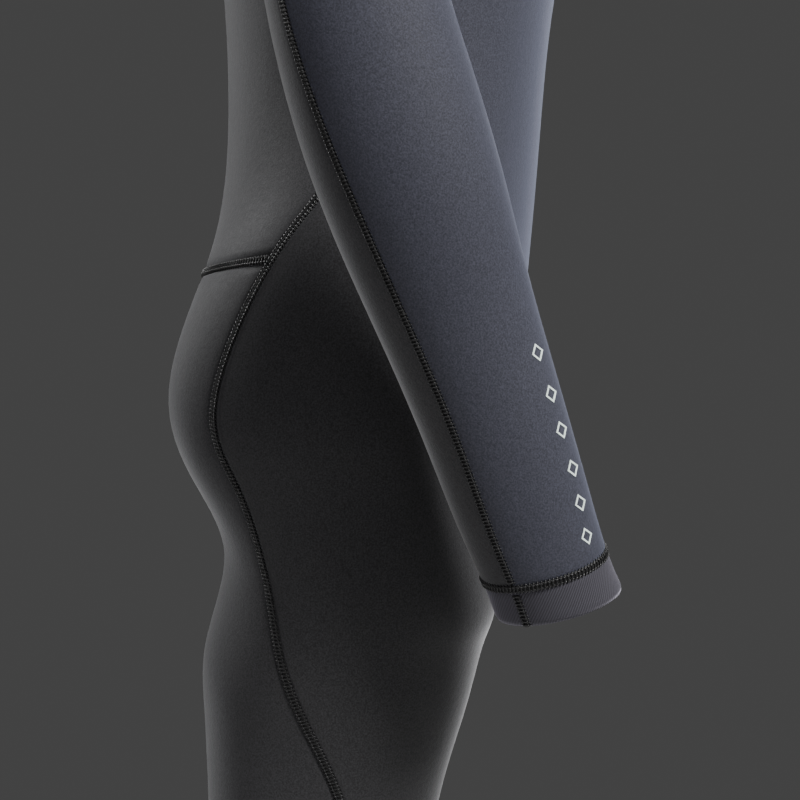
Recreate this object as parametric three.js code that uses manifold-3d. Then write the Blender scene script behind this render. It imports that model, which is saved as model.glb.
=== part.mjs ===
// Full-length chest-zip wetsuit, worn shape, as sewn neoprene panels with flatlock seams.
// The wearer faces -Y with the left hand towards +X; the origin is the centre of the neck opening.
import * as THREE from "three";
import { mergeVertices } from "three/addons/utils/BufferGeometryUtils.js";
import Module from "manifold-3d";

// ---- Driving dimensions, millimetres and degrees ----
const SUIT_HEIGHT = 1442; // ankle openings to the top of the collar
const CHEST_WIDTH = 312; // across the chest below the arms
const NEOPRENE = 3; // panel thickness
const SEAM_GAP = 0.4; // joint between the edges of two panels
const STITCH_WIDTH = 6; // flatlock band laid over each joint
const STITCH_HEIGHT = 1;
const STITCH_SHOULDER = 0.6; // share of that height at the band's edges
const STITCH_LIFT = 0.55; // height of the band's underside over the panels' corners
const STITCH_CLEARANCE = 0.3; // least gap between the band and a panel
const SEAM_CLEARANCE = 4.2; // where a band stops short of the band it meets
const GUSSET_CLEARANCE = 6; // the same at the gusset's pointed ends
const SHOULDER_CLEARANCE = 8; // the same at the ends of the shoulder seam, which meets two thick rims
const SMALLEST_EDGE = 0.02; // edges shorter than this are dropped from a trimmed band
const ZIP_ARC_RADIUS = 253; // plan radius of the chest along the zip
const ZIP_SLOPE = 0.4; // how much that radius shrinks per unit of height
const ZIP_HALF_ANGLE = 22.5; // half of the arc that the chain covers
const ZIP_TAPE_HALF_ANGLE = 28.5;
const ZIP_TAPE_WIDTH = 12;
const ZIP_TAPE_THICKNESS = 1;
const ZIP_TAPE_LIFT = 0.35;
const ZIP_TAPE_SPACING = 0.5; // slot between the two tapes
const ZIP_TAPE_SPANS = 24;
const ZIP_TOOTH_PITCH = 5;
const ZIP_TOOTH_FOOT = 0.15; // share of the pitch where a tooth starts to widen
const ZIP_TOOTH_FACE = 0.35; // and where it has its full width
const ZIP_WAIST_DROP = 0.5; // how much lower the chain is between two teeth
const ZIP_CHAIN_WIDTH = 4.6;
const ZIP_CHAIN_WAIST = 3.2; // width of the chain between two teeth
const ZIP_CHAIN_HEIGHT = 2;
const ZIP_CHAIN_LIFT = 1.65;
const ZIP_STOP_ANGLE = 0.9;
const ZIP_STOP_WIDTH = 8;
const SLIDER_LENGTH = 16;
const SLIDER_WIDTH = 8.4;
const SLIDER_PLATE = 1.6;
const SLIDER_CLEARANCE = 0.4;
const SLIDER_REST_ANGLE = 19.4;
const SLIDER_NOSE = 0.3; // half width of the slider's nose, as a share of its width
const SLIDER_FLANGE = 1;
const SLIDER_FLANGE_LENGTH = 8.8;
const SLIDER_FLANGE_SETBACK = 0.5;
const ARCH_LENGTH = 8.8;
const ARCH_WIDTH = 2.4;
const ARCH_BAR = 1.2;
const PULL_AXIS_HEIGHT = 1.3; // above the slider's plate
const PULL_THICKNESS = 1.6;
const PULL_LENGTH = 27;
const PULL_NECK_WIDTH = 6.6;
const PULL_END_WIDTH = 9;
const PULL_TAPER = 0.45; // share of the length over which the neck keeps its width
const PULL_WINDOW_LENGTH = 4.8;
const PULL_WINDOW_WIDTH = 3.4;

// ---- Pattern size: the stations below are floor heights and half girths of this size ----
const PATTERN_HEIGHT = 1442;
const PATTERN_CHEST = 312;
const NECK_Y = 5.5;
const NECK_Z = 1517;
const GIRTH = CHEST_WIDTH / PATTERN_CHEST;
const RISE = SUIT_HEIGHT / PATTERN_HEIGHT;

const BACK_COLUMN = 10; // torso columns run from the front centre, 0, to the back centre
const SIDE_COLUMN = 6;
const ARM_COLUMNS = 12;
const LEG_COLUMNS = 14;
const ARMHOLE = { low: 8, high: 11, front: 4, back: 7 };
const ZIP_STATION = 10;
const TORSO_ROUNDNESS = 0.85;
const LEG_ROUNDNESS = 0.94;

// Torso stations, hips to collar. half: half width. front, side, back: y of those points.
// rise: floor height at front, side and back. seam: y of the side seam.
// arm: y of the four columns that bound or cross the armhole.
const TORSO = [
  { half: 170, front: -62, side: 20, back: 132, cleft: 26, rise: [852, 868, 860], seam: 86 },
  { half: 171, front: -66, side: 20, back: 148, cleft: 26, rise: [890, 912, 915], seam: 98 },
  { half: 160, front: -70, side: 15, back: 121, cleft: 10, rise: [922, 990, 975], seam: 67 },
  { half: 146, front: -72, side: 10, back: 103, cleft: 2, rise: [950, 1030, 1026], seam: 36 },
  { half: 136, front: -79, side: 8, back: 99, cleft: 0, rise: [1030, 1085, 1085], seam: 15 },
  { half: 140, front: -86, side: 6, back: 102, cleft: 0, rise: [1112, 1145, 1145], seam: 9 },
  { half: 148, front: -98, side: 4, back: 108, cleft: 0, rise: [1182, 1205, 1205], seam: 8 },
  { half: 155, front: -109, side: 4, back: 113, cleft: 0, rise: [1242, 1262, 1266], seam: 9 },
  { half: 156, front: -111, side: 4, back: 113, cleft: 0, rise: [1297, 1312, 1320],
    arm: [-32, -10, 12, 36] },
  { half: 154, front: -103, side: 4, back: 108, cleft: 0, rise: [1341, 1350, 1358],
    arm: [-50, -20, 20, 56] },
  { half: 160, front: -88, side: 5, back: 99, cleft: 0, rise: [1382, 1382, 1396],
    arm: [-50, -16, 18, 56] },
  { half: 166, front: -66, side: 6, back: 85, cleft: 0, rise: [1420, 1425, 1428],
    arm: [-38, -12, 14, 44] },
  { half: 110, front: -46, side: 8, back: 71, cleft: 0, rise: [1447, 1458, 1454],
    arm: [-26, -6, 18, 42] },
  { half: 66, front: -37, side: 10, back: 60, cleft: 0, rise: [1464, 1483, 1480],
    arm: [-15, 1, 19, 36] },
  { half: 59, front: -41, side: 6, back: 52, cleft: 0, rise: [1502, 1525, 1532],
    arm: [-18, -2, 15, 31] },
];
// The line between the legs, under the hips: y and floor height of columns 11 to 13.
const CROTCH = [
  { y: 72, z: 830 },
  { y: 24, z: 815 },
  { y: -28, z: 829 },
];
// Leg stations, crotch to ankle. inner, outer: x. front, back: y. seam: angle of the side seam.
// rise: floor height at front, outside, back and inside.
const LEG = [
  { inner: 9, outer: 167, front: -54, back: 97, seam: 129, rise: [802, 810, 823, 792] },
  { inner: 13, outer: 163, front: -47, back: 107, seam: 114, rise: [775, 775, 777, 768] },
  { inner: 18, outer: 158, front: -37, back: 109, seam: 99, rise: [738, 738, 738, 736] },
  { inner: 24, outer: 152, front: -23, back: 107, seam: 80, rise: level(690) },
  { inner: 30, outer: 146, front: -12, back: 105, seam: 70, rise: level(632) },
  { inner: 34, outer: 141, front: -5, back: 105, seam: 66, rise: level(578) },
  { inner: 37, outer: 138, front: 0, back: 106, seam: 66, rise: level(528) },
  { inner: 39, outer: 137, front: 4, back: 109, seam: 67, rise: level(482) },
  { inner: 41, outer: 135, front: 11, back: 115, seam: 68, rise: level(434) },
  { inner: 41, outer: 135, front: 19, back: 127, seam: 70, rise: level(382) },
  { inner: 42, outer: 134, front: 26, back: 134, seam: 72, rise: level(328) },
  { inner: 48, outer: 130, front: 33, back: 131, seam: 76, rise: level(270) },
  { inner: 55, outer: 126, front: 39, back: 125, seam: 80, rise: level(212) },
  { inner: 59, outer: 124, front: 43, back: 121, seam: 84, rise: level(158) },
  { inner: 60, outer: 124, front: 44, back: 122, seam: 86, rise: level(118) },
  { inner: 59, outer: 125, front: 43, back: 123, seam: 86, rise: level(90) },
];
// Sleeve stations, shoulder to wrist. at: centre. along: direction down the arm.
// out, fore: half sizes across and fore-and-aft. seam: angle of the outer sleeve seam.
const ARM = [
  { at: [194, 6, 1345], along: [0.864, 0.05, -0.504], out: 56, fore: 54, seam: 52 },
  { at: [210, 12, 1304], along: [0.66, 0.1, -0.74], out: 49.5, fore: 50.5, seam: 56 },
  { at: [222, 18, 1254], along: [0.3, 0.08, -0.95], out: 44, fore: 48, seam: 58 },
  { at: [233, 24, 1204], along: [0.18, 0.06, -0.98], out: 41, fore: 46, seam: 58 },
  { at: [241, 26, 1158], along: [0.13, -0.06, -0.99], out: 39.5, fore: 44, seam: 56 },
  { at: [246, 21, 1115], along: [0.04, -0.22, -0.975], out: 39.5, fore: 43.5, seam: 52 },
  { at: [245, 8, 1067], along: [-0.07, -0.29, -0.95], out: 40.5, fore: 45, seam: 45 },
  { at: [239, -8, 1018], along: [-0.14, -0.31, -0.94], out: 39.5, fore: 44, seam: 39 },
  { at: [230, -25, 969], along: [-0.18, -0.32, -0.93], out: 35.5, fore: 40, seam: 36 },
  { at: [220, -43, 919], along: [-0.2, -0.31, -0.93], out: 32.5, fore: 36.8, seam: 34 },
  { at: [209, -60.5, 868], along: [-0.2, -0.29, -0.935], out: 30, fore: 34.5, seam: 34 },
  { at: [201.5, -73, 834], along: [-0.2, -0.25, -0.945], out: 27.5, fore: 32.5, seam: 34 },
  { at: [197.5, -81, 814], along: [-0.2, -0.24, -0.95], out: 26.5, fore: 33, seam: 35 },
];
const INNER_SLEEVE_SEAM = 225; // angle of the seam on the body side of the sleeve
const SHOULDER_LEAN = 0.5; // a sleeve that leaves the body flatter than this is upright in section

// Rows at which the panels change.
const WAIST_BACK_ROW = 2;
const WAIST_FRONT_ROW = 3;
const COLLAR_ROW = 13;
const SHOULDER_COLUMN = 5;
const KNEE_TOP_ROW = 6;
const KNEE_BOTTOM_ROW = 10;
const CALF_TOP_ROW = 7;
const ANKLE_ROW = LEG.length - 1;
const WRIST_ROW = ARM.length - 1;
const INSEAM_COLUMN = 12;
const OUTER_SLEEVE_COLUMN = 2;
const INNER_SLEEVE_COLUMN = 8;

function level(height) {
  return [height, height, height, height];
}

const radians = THREE.MathUtils.degToRad;
const signedPower = (value, power) => Math.sign(value) * Math.abs(value) ** power;

// Angle round the torso, from the front, at which the section reaches a given y.
function torsoAngle(station, y) {
  const { front, side, back } = station;
  if (y < side) return Math.acos(((side - y) / (side - front)) ** (1 / TORSO_ROUNDNESS));
  return Math.PI - Math.acos(((y - side) / (back - side)) ** (1 / TORSO_ROUNDNESS));
}

function torsoAngles(station) {
  const fixed = station.arm ? station.arm.map((y) => torsoAngle(station, y)) : null;
  const first = fixed ? ARMHOLE.front : SIDE_COLUMN;
  const last = fixed ? ARMHOLE.back : SIDE_COLUMN;
  const stops = fixed || [torsoAngle(station, station.seam)];
  const angles = [];
  for (let column = 0; column <= BACK_COLUMN; column++) {
    if (column < first) angles.push((stops[0] * column) / first);
    else if (column <= last) angles.push(stops[column - first]);
    else {
      const end = stops[stops.length - 1];
      angles.push(end + ((Math.PI - end) * (column - last)) / (BACK_COLUMN - last));
    }
  }
  return angles;
}

function torsoPoint(station, angle) {
  const { half, front, side, back, cleft, rise } = station;
  const swing = Math.cos(angle);
  const reach = Math.abs(swing) ** TORSO_ROUNDNESS;
  const x = half * Math.max(Math.sin(angle), 0) ** TORSO_ROUNDNESS;
  if (swing > 0) {
    return [x, side - (side - front) * reach, rise[1] + (rise[0] - rise[1]) * swing * swing];
  }
  const behind = Math.PI - angle;
  const dip = behind < Math.PI / 4 ? cleft * Math.cos(2 * behind) ** 2 : 0;
  return [x, side + (back - side) * reach - dip, rise[1] + (rise[2] - rise[1]) * swing * swing];
}

// The chest along the zip is part of a cone with an upright axis, so that the slider can follow it.
function zipRadius(z) {
  return ZIP_ARC_RADIUS + (TORSO[ZIP_STATION].rise[0] - z) * ZIP_SLOPE;
}

function chestPoint([x, , z]) {
  const axis = TORSO[ZIP_STATION].front + ZIP_ARC_RADIUS;
  return [x, axis - Math.sqrt(zipRadius(z) ** 2 - x * x), z];
}

function legAngles(station) {
  const seam = radians(station.seam);
  const front = -Math.PI / 2;
  const inside = 1.5 * Math.PI;
  const toSeam = (step) => front + ((seam - front) * step) / 8;
  const angles = [];
  for (let column = 0; column <= SIDE_COLUMN; column++) angles.push(toSeam(column + 2));
  for (let step = 1; step <= 6; step++) angles.push(seam + ((inside - seam) * step) / 6);
  angles.push(toSeam(1));
  return angles;
}

function legPoint(station, angle) {
  const { inner, outer, front, back, rise } = station;
  const sine = Math.sin(angle);
  const cosine = Math.cos(angle);
  const x = (inner + outer) / 2 + ((outer - inner) / 2) * signedPower(sine, LEG_ROUNDNESS);
  const y = (front + back) / 2 - ((back - front) / 2) * signedPower(cosine, LEG_ROUNDNESS);
  const lengthways = (cosine > 0 ? rise[0] : rise[2]) * cosine * cosine;
  const across = (sine > 0 ? rise[1] : rise[3]) * sine * sine;
  return [x, y, lengthways + across];
}

function armAngles(station) {
  const outer = radians(station.seam);
  const inner = radians(INNER_SLEEVE_SEAM);
  const under = INNER_SLEEVE_COLUMN - OUTER_SLEEVE_COLUMN;
  const over = ARM_COLUMNS - under;
  const angles = [];
  for (let column = 0; column < ARM_COLUMNS; column++) {
    const step = (column - OUTER_SLEEVE_COLUMN + ARM_COLUMNS) % ARM_COLUMNS;
    if (step <= under) angles.push(outer + ((inner - outer) * step) / under);
    else angles.push(inner + ((outer + 2 * Math.PI - inner) * (step - under)) / over);
  }
  return angles;
}

function armPoint(station, angle) {
  const axis = new THREE.Vector3(...station.along).normalize();
  const upright = axis.x > SHOULDER_LEAN;
  const across = upright ? new THREE.Vector3(0, 0, 1) : new THREE.Vector3(1, 0, 0);
  across.addScaledVector(axis, -across.dot(axis)).normalize();
  const back = new THREE.Vector3().crossVectors(across, axis);
  if (back.y < 0) back.negate();
  return new THREE.Vector3(...station.at)
    .addScaledVector(across, station.out * Math.cos(angle))
    .addScaledVector(back, station.fore * Math.sin(angle))
    .toArray();
}

// ---- The suit's outer surface: a net of four-sided facets ----
const points = [];
const lookup = new Map();
const panels = new Map();
const turn = []; // turn[vertex]: map from each neighbour to the next one round, seen from outside

function addPoint(name, [x, y, z]) {
  lookup.set(name, points.length);
  const place = new THREE.Vector3(x * GIRTH, (y - NECK_Y) * GIRTH, (z - NECK_Z) * RISE);
  points.push(place);
}

const ARMHOLE_RING = [];
for (let column = ARMHOLE.front + 1; column <= ARMHOLE.back; column++) {
  ARMHOLE_RING.push([ARMHOLE.high, column]);
}
for (let row = ARMHOLE.high - 1; row >= ARMHOLE.low; row--) ARMHOLE_RING.push([row, ARMHOLE.back]);
for (let column = ARMHOLE.back - 1; column >= ARMHOLE.front; column--) {
  ARMHOLE_RING.push([ARMHOLE.low, column]);
}
for (let row = ARMHOLE.low + 1; row <= ARMHOLE.high; row++) ARMHOLE_RING.push([row, ARMHOLE.front]);

// side: 1 for the wearer's left, -1 for the right, 0 for the centre line.
function torso(row, column, side) {
  const centred = column === 0 || column === BACK_COLUMN ? 0 : side;
  return lookup.get(`torso ${row} ${column} ${centred}`);
}

function leg(row, column, side) {
  const wrapped = column % LEG_COLUMNS;
  if (row > 0) return lookup.get(`leg ${row} ${wrapped} ${side}`);
  if (wrapped <= BACK_COLUMN) return torso(0, wrapped, side);
  return lookup.get(`leg 0 ${wrapped} 0`);
}

function arm(row, column, side) {
  const wrapped = column % ARM_COLUMNS;
  if (row > 0) return lookup.get(`arm ${row} ${wrapped} ${side}`);
  return torso(...ARMHOLE_RING[wrapped], side);
}

function addFacet(panel, corners, side) {
  const [a, b, c, d] = corners;
  const facet = side > 0 ? [a, b, c, d] : [a, d, c, b];
  if (!panels.has(panel)) panels.set(panel, []);
  panels.get(panel).push(facet);
  facet.forEach((corner, i) => {
    turn[corner] ??= new Map();
    turn[corner].set(facet[(i + 1) % 4], facet[(i + 3) % 4]);
  });
}

function insideArmhole(row, column) {
  const rows = row > ARMHOLE.low && row < ARMHOLE.high;
  return rows && column > ARMHOLE.front && column < ARMHOLE.back;
}

TORSO.forEach((station, row) => {
  torsoAngles(station).forEach((angle, column) => {
    if (insideArmhole(row, column)) return;
    let place = torsoPoint(station, angle);
    if (Math.abs(row - ZIP_STATION) <= 1 && column <= ARMHOLE.front) place = chestPoint(place);
    const [x, y, z] = place;
    const centred = column === 0 || column === BACK_COLUMN;
    for (const side of centred ? [0] : [1, -1]) addPoint(`torso ${row} ${column} ${side}`, [side * x, y, z]);
  });
});
CROTCH.forEach(({ y, z }, i) => addPoint(`leg 0 ${BACK_COLUMN + 1 + i} 0`, [0, y, z]));
LEG.forEach((station, i) => {
  legAngles(station).forEach((angle, column) => {
    const [x, y, z] = legPoint(station, angle);
    for (const side of [1, -1]) addPoint(`leg ${i + 1} ${column} ${side}`, [side * x, y, z]);
  });
});
ARM.forEach((station, i) => {
  armAngles(station).forEach((angle, column) => {
    const [x, y, z] = armPoint(station, angle);
    for (const side of [1, -1]) addPoint(`arm ${i + 1} ${column} ${side}`, [side * x, y, z]);
  });
});

function torsoPanel(row, column, handed) {
  if (row >= COLLAR_ROW) return "collar";
  const yokeEdge = row === ZIP_STATION ? ARMHOLE.front : SHOULDER_COLUMN;
  if (row >= ZIP_STATION) return column < yokeEdge ? "front_yoke" : "back_yoke";
  if (column < SIDE_COLUMN) return row >= WAIST_FRONT_ROW ? "front_body" : `front_thigh_${handed}`;
  return row >= WAIST_BACK_ROW ? "back_body" : `seat_${handed}`;
}

function legPanel(row, column, handed) {
  if (row === 0 && (column === INSEAM_COLUMN - 1 || column === INSEAM_COLUMN)) return "crotch_gusset";
  if (row === ANKLE_ROW) return `ankle_cuff_${handed}`;
  const inFront = column < SIDE_COLUMN || column >= INSEAM_COLUMN;
  if (!inFront) return row < CALF_TOP_ROW ? `seat_${handed}` : `calf_${handed}`;
  if (row < KNEE_TOP_ROW) return `front_thigh_${handed}`;
  return row < KNEE_BOTTOM_ROW ? `knee_${handed}` : `shin_${handed}`;
}

function armPanel(row, column, handed) {
  if (row === WRIST_ROW) return `wrist_cuff_${handed}`;
  const under = column >= OUTER_SLEEVE_COLUMN && column < INNER_SLEEVE_COLUMN;
  return under ? `sleeve_under_${handed}` : `sleeve_outer_${handed}`;
}

for (const side of [1, -1]) {
  const handed = side > 0 ? "left" : "right";
  for (let row = 0; row + 1 < TORSO.length; row++) {
    for (let column = 0; column < BACK_COLUMN; column++) {
      const rows = row >= ARMHOLE.low && row < ARMHOLE.high;
      if (rows && column >= ARMHOLE.front && column < ARMHOLE.back) continue;
      const corners = [torso(row, column, side), torso(row, column + 1, side)];
      corners.push(torso(row + 1, column + 1, side), torso(row + 1, column, side));
      addFacet(torsoPanel(row, column, handed), corners, side);
    }
  }
  for (let row = 0; row < LEG.length; row++) {
    for (let column = 0; column < LEG_COLUMNS; column++) {
      const corners = [leg(row + 1, column, side), leg(row + 1, column + 1, side)];
      corners.push(leg(row, column + 1, side), leg(row, column, side));
      addFacet(legPanel(row, column, handed), corners, side);
    }
  }
  for (let row = 0; row < ARM.length; row++) {
    for (let column = 0; column < ARM_COLUMNS; column++) {
      const corners = [arm(row, column, side), arm(row + 1, column, side)];
      corners.push(arm(row + 1, column + 1, side), arm(row, column + 1, side));
      addFacet(armPanel(row, column, handed), corners, side);
    }
  }
}

// Outward normal of the surface at each vertex, from the facets round it.
const normals = points.map(() => new THREE.Vector3());
for (const facets of panels.values()) {
  for (const [a, b, c, d] of facets) {
    const across = points[c].clone().sub(points[a]);
    const normal = across.cross(points[d].clone().sub(points[b]));
    for (const corner of [a, b, c, d]) normals[corner].add(normal);
  }
}

// At a cuff's open end the panel's edge is square to the cuff, so that the rim is flat.
function squareRim(ring) {
  const middle = ring.reduce((sum, i) => sum.add(points[i]), new THREE.Vector3());
  middle.divideScalar(ring.length);
  const axis = new THREE.Vector3();
  ring.forEach((corner, i) => {
    const here = points[corner].clone().sub(middle);
    const next = points[ring[(i + 1) % ring.length]].clone().sub(middle);
    axis.add(here.cross(next));
  });
  axis.normalize();
  for (const corner of ring) normals[corner].addScaledVector(axis, -normals[corner].dot(axis));
}

const ringOf = (place, row, columns, side) =>
  Array.from({ length: columns }, (_, column) => place(row, column, side));
for (const side of [1, -1]) {
  squareRim(ringOf(leg, LEG.length, LEG_COLUMNS, side));
  squareRim(ringOf(arm, ARM.length, ARM_COLUMNS, side));
}
normals.forEach((normal) => normal.normalize());

// ---- Meshes ----
const suit = new THREE.Group();

function cloth(color, roughness) {
  return new THREE.MeshStandardMaterial({ color, roughness, metalness: 0 });
}

const blueCharcoal = cloth(0x2a2d36, 0.85);
const charcoal = cloth(0x28292a, 0.88);
const cuffKnit = cloth(0x2b2c31, 0.95);
const thread = cloth(0x0c0c0d, 0.7);
const tapeCloth = cloth(0x121214, 0.8);
const mouldedPlastic = cloth(0x17181a, 0.45);
const pullRubber = cloth(0x202226, 0.6);

function addMesh(name, geometry, material, parent = suit) {
  geometry.computeVertexNormals();
  const mesh = new THREE.Mesh(geometry, material.clone());
  mesh.name = name;
  parent.add(mesh);
  return mesh;
}

function geometryOf(places, triangles) {
  const geometry = new THREE.BufferGeometry().setFromPoints(places);
  geometry.setIndex(triangles);
  return geometry;
}

// A panel: its facets as the outer face, the same facets one thickness in, and walls round the
// edge, which stands back by half the joint from the neighbouring panel's.
function panelGeometry(facets, joint = SEAM_GAP, lift = 0) {
  const edges = new Map();
  for (const facet of facets) {
    facet.forEach((corner, i) => edges.set(`${corner} ${facet[(i + 1) % 4]}`, facet));
  }
  const border = [...edges].filter(([key]) => !edges.has(key.split(" ").reverse().join(" ")));
  const inward = new Map();
  for (const [key, facet] of border) {
    const [from, to] = key.split(" ").map(Number);
    const along = points[to].clone().sub(points[from]).normalize();
    const middle = points[facet[0]].clone().add(points[facet[2]]).multiplyScalar(0.5);
    const away = middle.sub(points[from]);
    away.addScaledVector(along, -away.dot(along)).normalize();
    for (const corner of [from, to]) inward.set(corner, [...(inward.get(corner) || []), away]);
  }
  const corners = [...new Set(facets.flat())];
  const order = new Map(corners.map((corner, i) => [corner, i]));
  const outer = corners.map((corner) => {
    const place = points[corner].clone();
    const [first, second] = inward.get(corner) || [];
    if (first) {
      const step = first.clone().add(second).multiplyScalar(joint / 2);
      place.addScaledVector(step, 1 / (1 + Math.max(first.dot(second), -0.5)));
    }
    return place.addScaledVector(normals[corner], lift);
  });
  const depth = NEOPRENE + lift;
  const inner = corners.map((corner, i) => outer[i].clone().addScaledVector(normals[corner], -depth));
  const count = corners.length;
  const triangles = [];
  for (const facet of facets) {
    const [a, b, c, d] = facet.map((corner) => order.get(corner));
    triangles.push(a, b, c, a, c, d);
    triangles.push(a + count, c + count, b + count, a + count, d + count, c + count);
  }
  for (const [key] of border) {
    // Both panels of a joint fold their walls along the same diagonal.
    const ends = key.split(" ").map(Number);
    const [from, to] = ends.map((corner) => order.get(corner));
    if (ends[0] < ends[1]) triangles.push(to, from, from + count, to, from + count, to + count);
    else triangles.push(to, from, to + count, from, from + count, to + count);
  }
  return geometryOf([...outer, ...inner], triangles);
}

// A solid swept through like sections, given as rings of points; a loop has no ends.
function swept(rings, loop = false) {
  const size = rings[0].length;
  const triangles = [];
  const spans = loop ? rings.length : rings.length - 1;
  for (let ring = 0; ring < spans; ring++) {
    const here = ring * size;
    const next = ((ring + 1) % rings.length) * size;
    for (let i = 0; i < size; i++) {
      const j = (i + 1) % size;
      triangles.push(here + i, here + j, next + j, here + i, next + j, next + i);
    }
  }
  const last = (rings.length - 1) * size;
  const hub = 1; // the caps fan out from here: in a band's section it is the middle of the underside
  for (let i = hub + 1; i < size && !loop; i++) {
    const after = (i + 1) % size;
    triangles.push(hub, after, i);
    triangles.push(last + hub, last + i, last + after);
  }
  return geometryOf(rings.flat(), triangles);
}

const wasm = await Module();
wasm.setup();

function solidOf(geometry, place = [0, 0, 0]) {
  const bare = geometry.index ? geometry.toNonIndexed() : geometry.clone();
  bare.deleteAttribute("normal");
  bare.deleteAttribute("uv");
  bare.translate(...place);
  const merged = mergeVertices(bare);
  return new wasm.Manifold(
    new wasm.Mesh({
      numProp: 3,
      vertProperties: merged.attributes.position.array,
      triVerts: new Uint32Array(merged.index.array),
    }),
  );
}

function geometryFrom(solid) {
  const mesh = solid.getMesh();
  const geometry = new THREE.BufferGeometry();
  geometry.setAttribute("position", new THREE.BufferAttribute(mesh.vertProperties, 3));
  geometry.setIndex(new THREE.BufferAttribute(mesh.triVerts, 1));
  return geometry;
}

// ---- Flatlock seams ----
// The neighbours of a vertex between two others, going round it counterclockwise from outside.
function between(vertex, from, to) {
  const found = [];
  let next = turn[vertex].get(from);
  while (next !== undefined && next !== to) {
    found.push(next);
    next = turn[vertex].get(next);
  }
  return found;
}

function sideways(vertex, neighbours, before, after) {
  const direction = new THREE.Vector3();
  const chosen = neighbours.length ? neighbours : [before, after];
  for (const other of chosen) direction.add(points[other].clone().sub(points[vertex]).normalize());
  return direction.normalize();
}

// Section of the stitched band at a vertex of its path: three points below, three above.
function bandSection(vertex, before, after) {
  const sides = [];
  if (before !== undefined && after !== undefined) {
    sides.push(sideways(vertex, between(vertex, before, after), before, after));
    sides.push(sideways(vertex, between(vertex, after, before), before, after));
  } else {
    const along = after ?? before;
    const round = [...turn[vertex]].find(([, next]) => next === along)[0];
    const ends = [round, turn[vertex].get(along)];
    if (after === undefined) ends.reverse();
    ends.forEach((end) => sides.push(points[end].clone().sub(points[vertex]).normalize()));
  }
  const spot = (direction, reach, lift) =>
    points[vertex].clone().addScaledVector(direction, reach).addScaledVector(normals[vertex], lift);
  const [right, left] = sides;
  const half = STITCH_WIDTH / 2;
  const top = STITCH_LIFT + STITCH_HEIGHT;
  const shoulder = STITCH_LIFT + STITCH_HEIGHT * STITCH_SHOULDER;
  return [
    spot(right, half, STITCH_LIFT),
    spot(right, 0, STITCH_LIFT),
    spot(left, half, STITCH_LIFT),
    spot(left, half, shoulder),
    spot(left, 0, top),
    spot(right, half, shoulder),
  ];
}

// Ends cut short so that a band stops before the band that it meets.
function shorten(rings, fromStart, cut) {
  const [end, next] = fromStart ? [0, 1] : [rings.length - 1, rings.length - 2];
  const share = cut / rings[end][1].distanceTo(rings[next][1]);
  rings[end] = rings[end].map((place, i) => place.clone().lerp(rings[next][i], share));
}

function seamGeometry(path, { loop = false, start = SEAM_CLEARANCE, end = SEAM_CLEARANCE } = {}) {
  const count = path.length;
  const rings = path.map((vertex, i) => {
    const before = loop ? path[(i + count - 1) % count] : path[i - 1];
    const after = loop ? path[(i + 1) % count] : path[i + 1];
    return bandSection(vertex, before, after);
  });
  if (!loop) {
    shorten(rings, true, start);
    shorten(rings, false, end);
  }
  const band = solidOf(swept(rings, loop)).subtract(clearance);
  const pieces = band.decompose().sort((a, b) => b.volume() - a.volume());
  return geometryFrom(pieces[0].simplify(SMALLEST_EDGE));
}

function addSeam(name, path, options) {
  return addMesh(name, seamGeometry(path, options), thread);
}

function mirrored(geometry) {
  const copy = geometry.clone().scale(-1, 1, 1);
  copy.setIndex([...copy.index.array].reverse());
  return copy;
}

// A seam on the wearer's left and its mirror image on the right.
function addSeamPair(name, path, options) {
  const geometry = seamGeometry(path, options);
  addMesh(`${name}_left`, geometry, thread);
  addMesh(`${name}_right`, mirrored(geometry), thread);
}

// The whole skin, thicker by the clearance: no band reaches into it.
const clearance = solidOf(panelGeometry([...panels.values()].flat(), 0, STITCH_CLEARANCE));

const columnPath = (place, column, from, to, side) => {
  const rows = Math.abs(to - from) + 1;
  const step = Math.sign(to - from);
  return Array.from({ length: rows }, (_, i) => place(from + i * step, column, side));
};
const rowPath = (place, row, from, to, side) => {
  const columns = Math.abs(to - from) + 1;
  const step = Math.sign(to - from);
  return Array.from({ length: columns }, (_, i) => place(row, from + i * step, side));
};
// A path across the centre line, from the wearer's right to the left.
const acrossPath = (row, centre, edge) => [
  ...rowPath(torso, row, edge, centre, -1),
  ...rowPath(torso, row, centre, edge, 1).slice(1),
];

// Under the arm the sleeve folds down against the body, and is trimmed back to it.
const bodyAtArmpit = solidOf(panelGeometry(panels.get("front_body"), 0, STITCH_CLEARANCE));
for (const [name, facets] of panels) {
  const bluish = /front_body|front_yoke|sleeve_outer/.test(name);
  const knitted = /cuff/.test(name);
  const whole = panelGeometry(facets);
  const trimmed = /sleeve_under/.test(name)
    ? geometryFrom(solidOf(whole).subtract(bodyAtArmpit))
    : whole;
  addMesh(name, trimmed, knitted ? cuffKnit : bluish ? blueCharcoal : charcoal);
}

addSeam("back_waist_seam", acrossPath(WAIST_BACK_ROW, BACK_COLUMN, SIDE_COLUMN));
addSeam("front_waist_seam", acrossPath(WAIST_FRONT_ROW, 0, SIDE_COLUMN));
addSeam("back_yoke_seam", acrossPath(ZIP_STATION, BACK_COLUMN, ARMHOLE.back));
const collarLoop = acrossPath(COLLAR_ROW, BACK_COLUMN, 0).slice(1);
addSeam("collar_seam", collarLoop, { loop: true });
const gussetFront = rowPath(leg, 1, INSEAM_COLUMN - 1, INSEAM_COLUMN + 1, 1);
const gussetBack = rowPath(leg, 1, INSEAM_COLUMN + 1, INSEAM_COLUMN - 1, -1);
const gussetTip = leg(0, INSEAM_COLUMN + 1, 1);
const gussetTail = leg(0, INSEAM_COLUMN - 1, 1);
addSeam("gusset_seam", [gussetTail, ...gussetFront, gussetTip, ...gussetBack], { loop: true });
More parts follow.
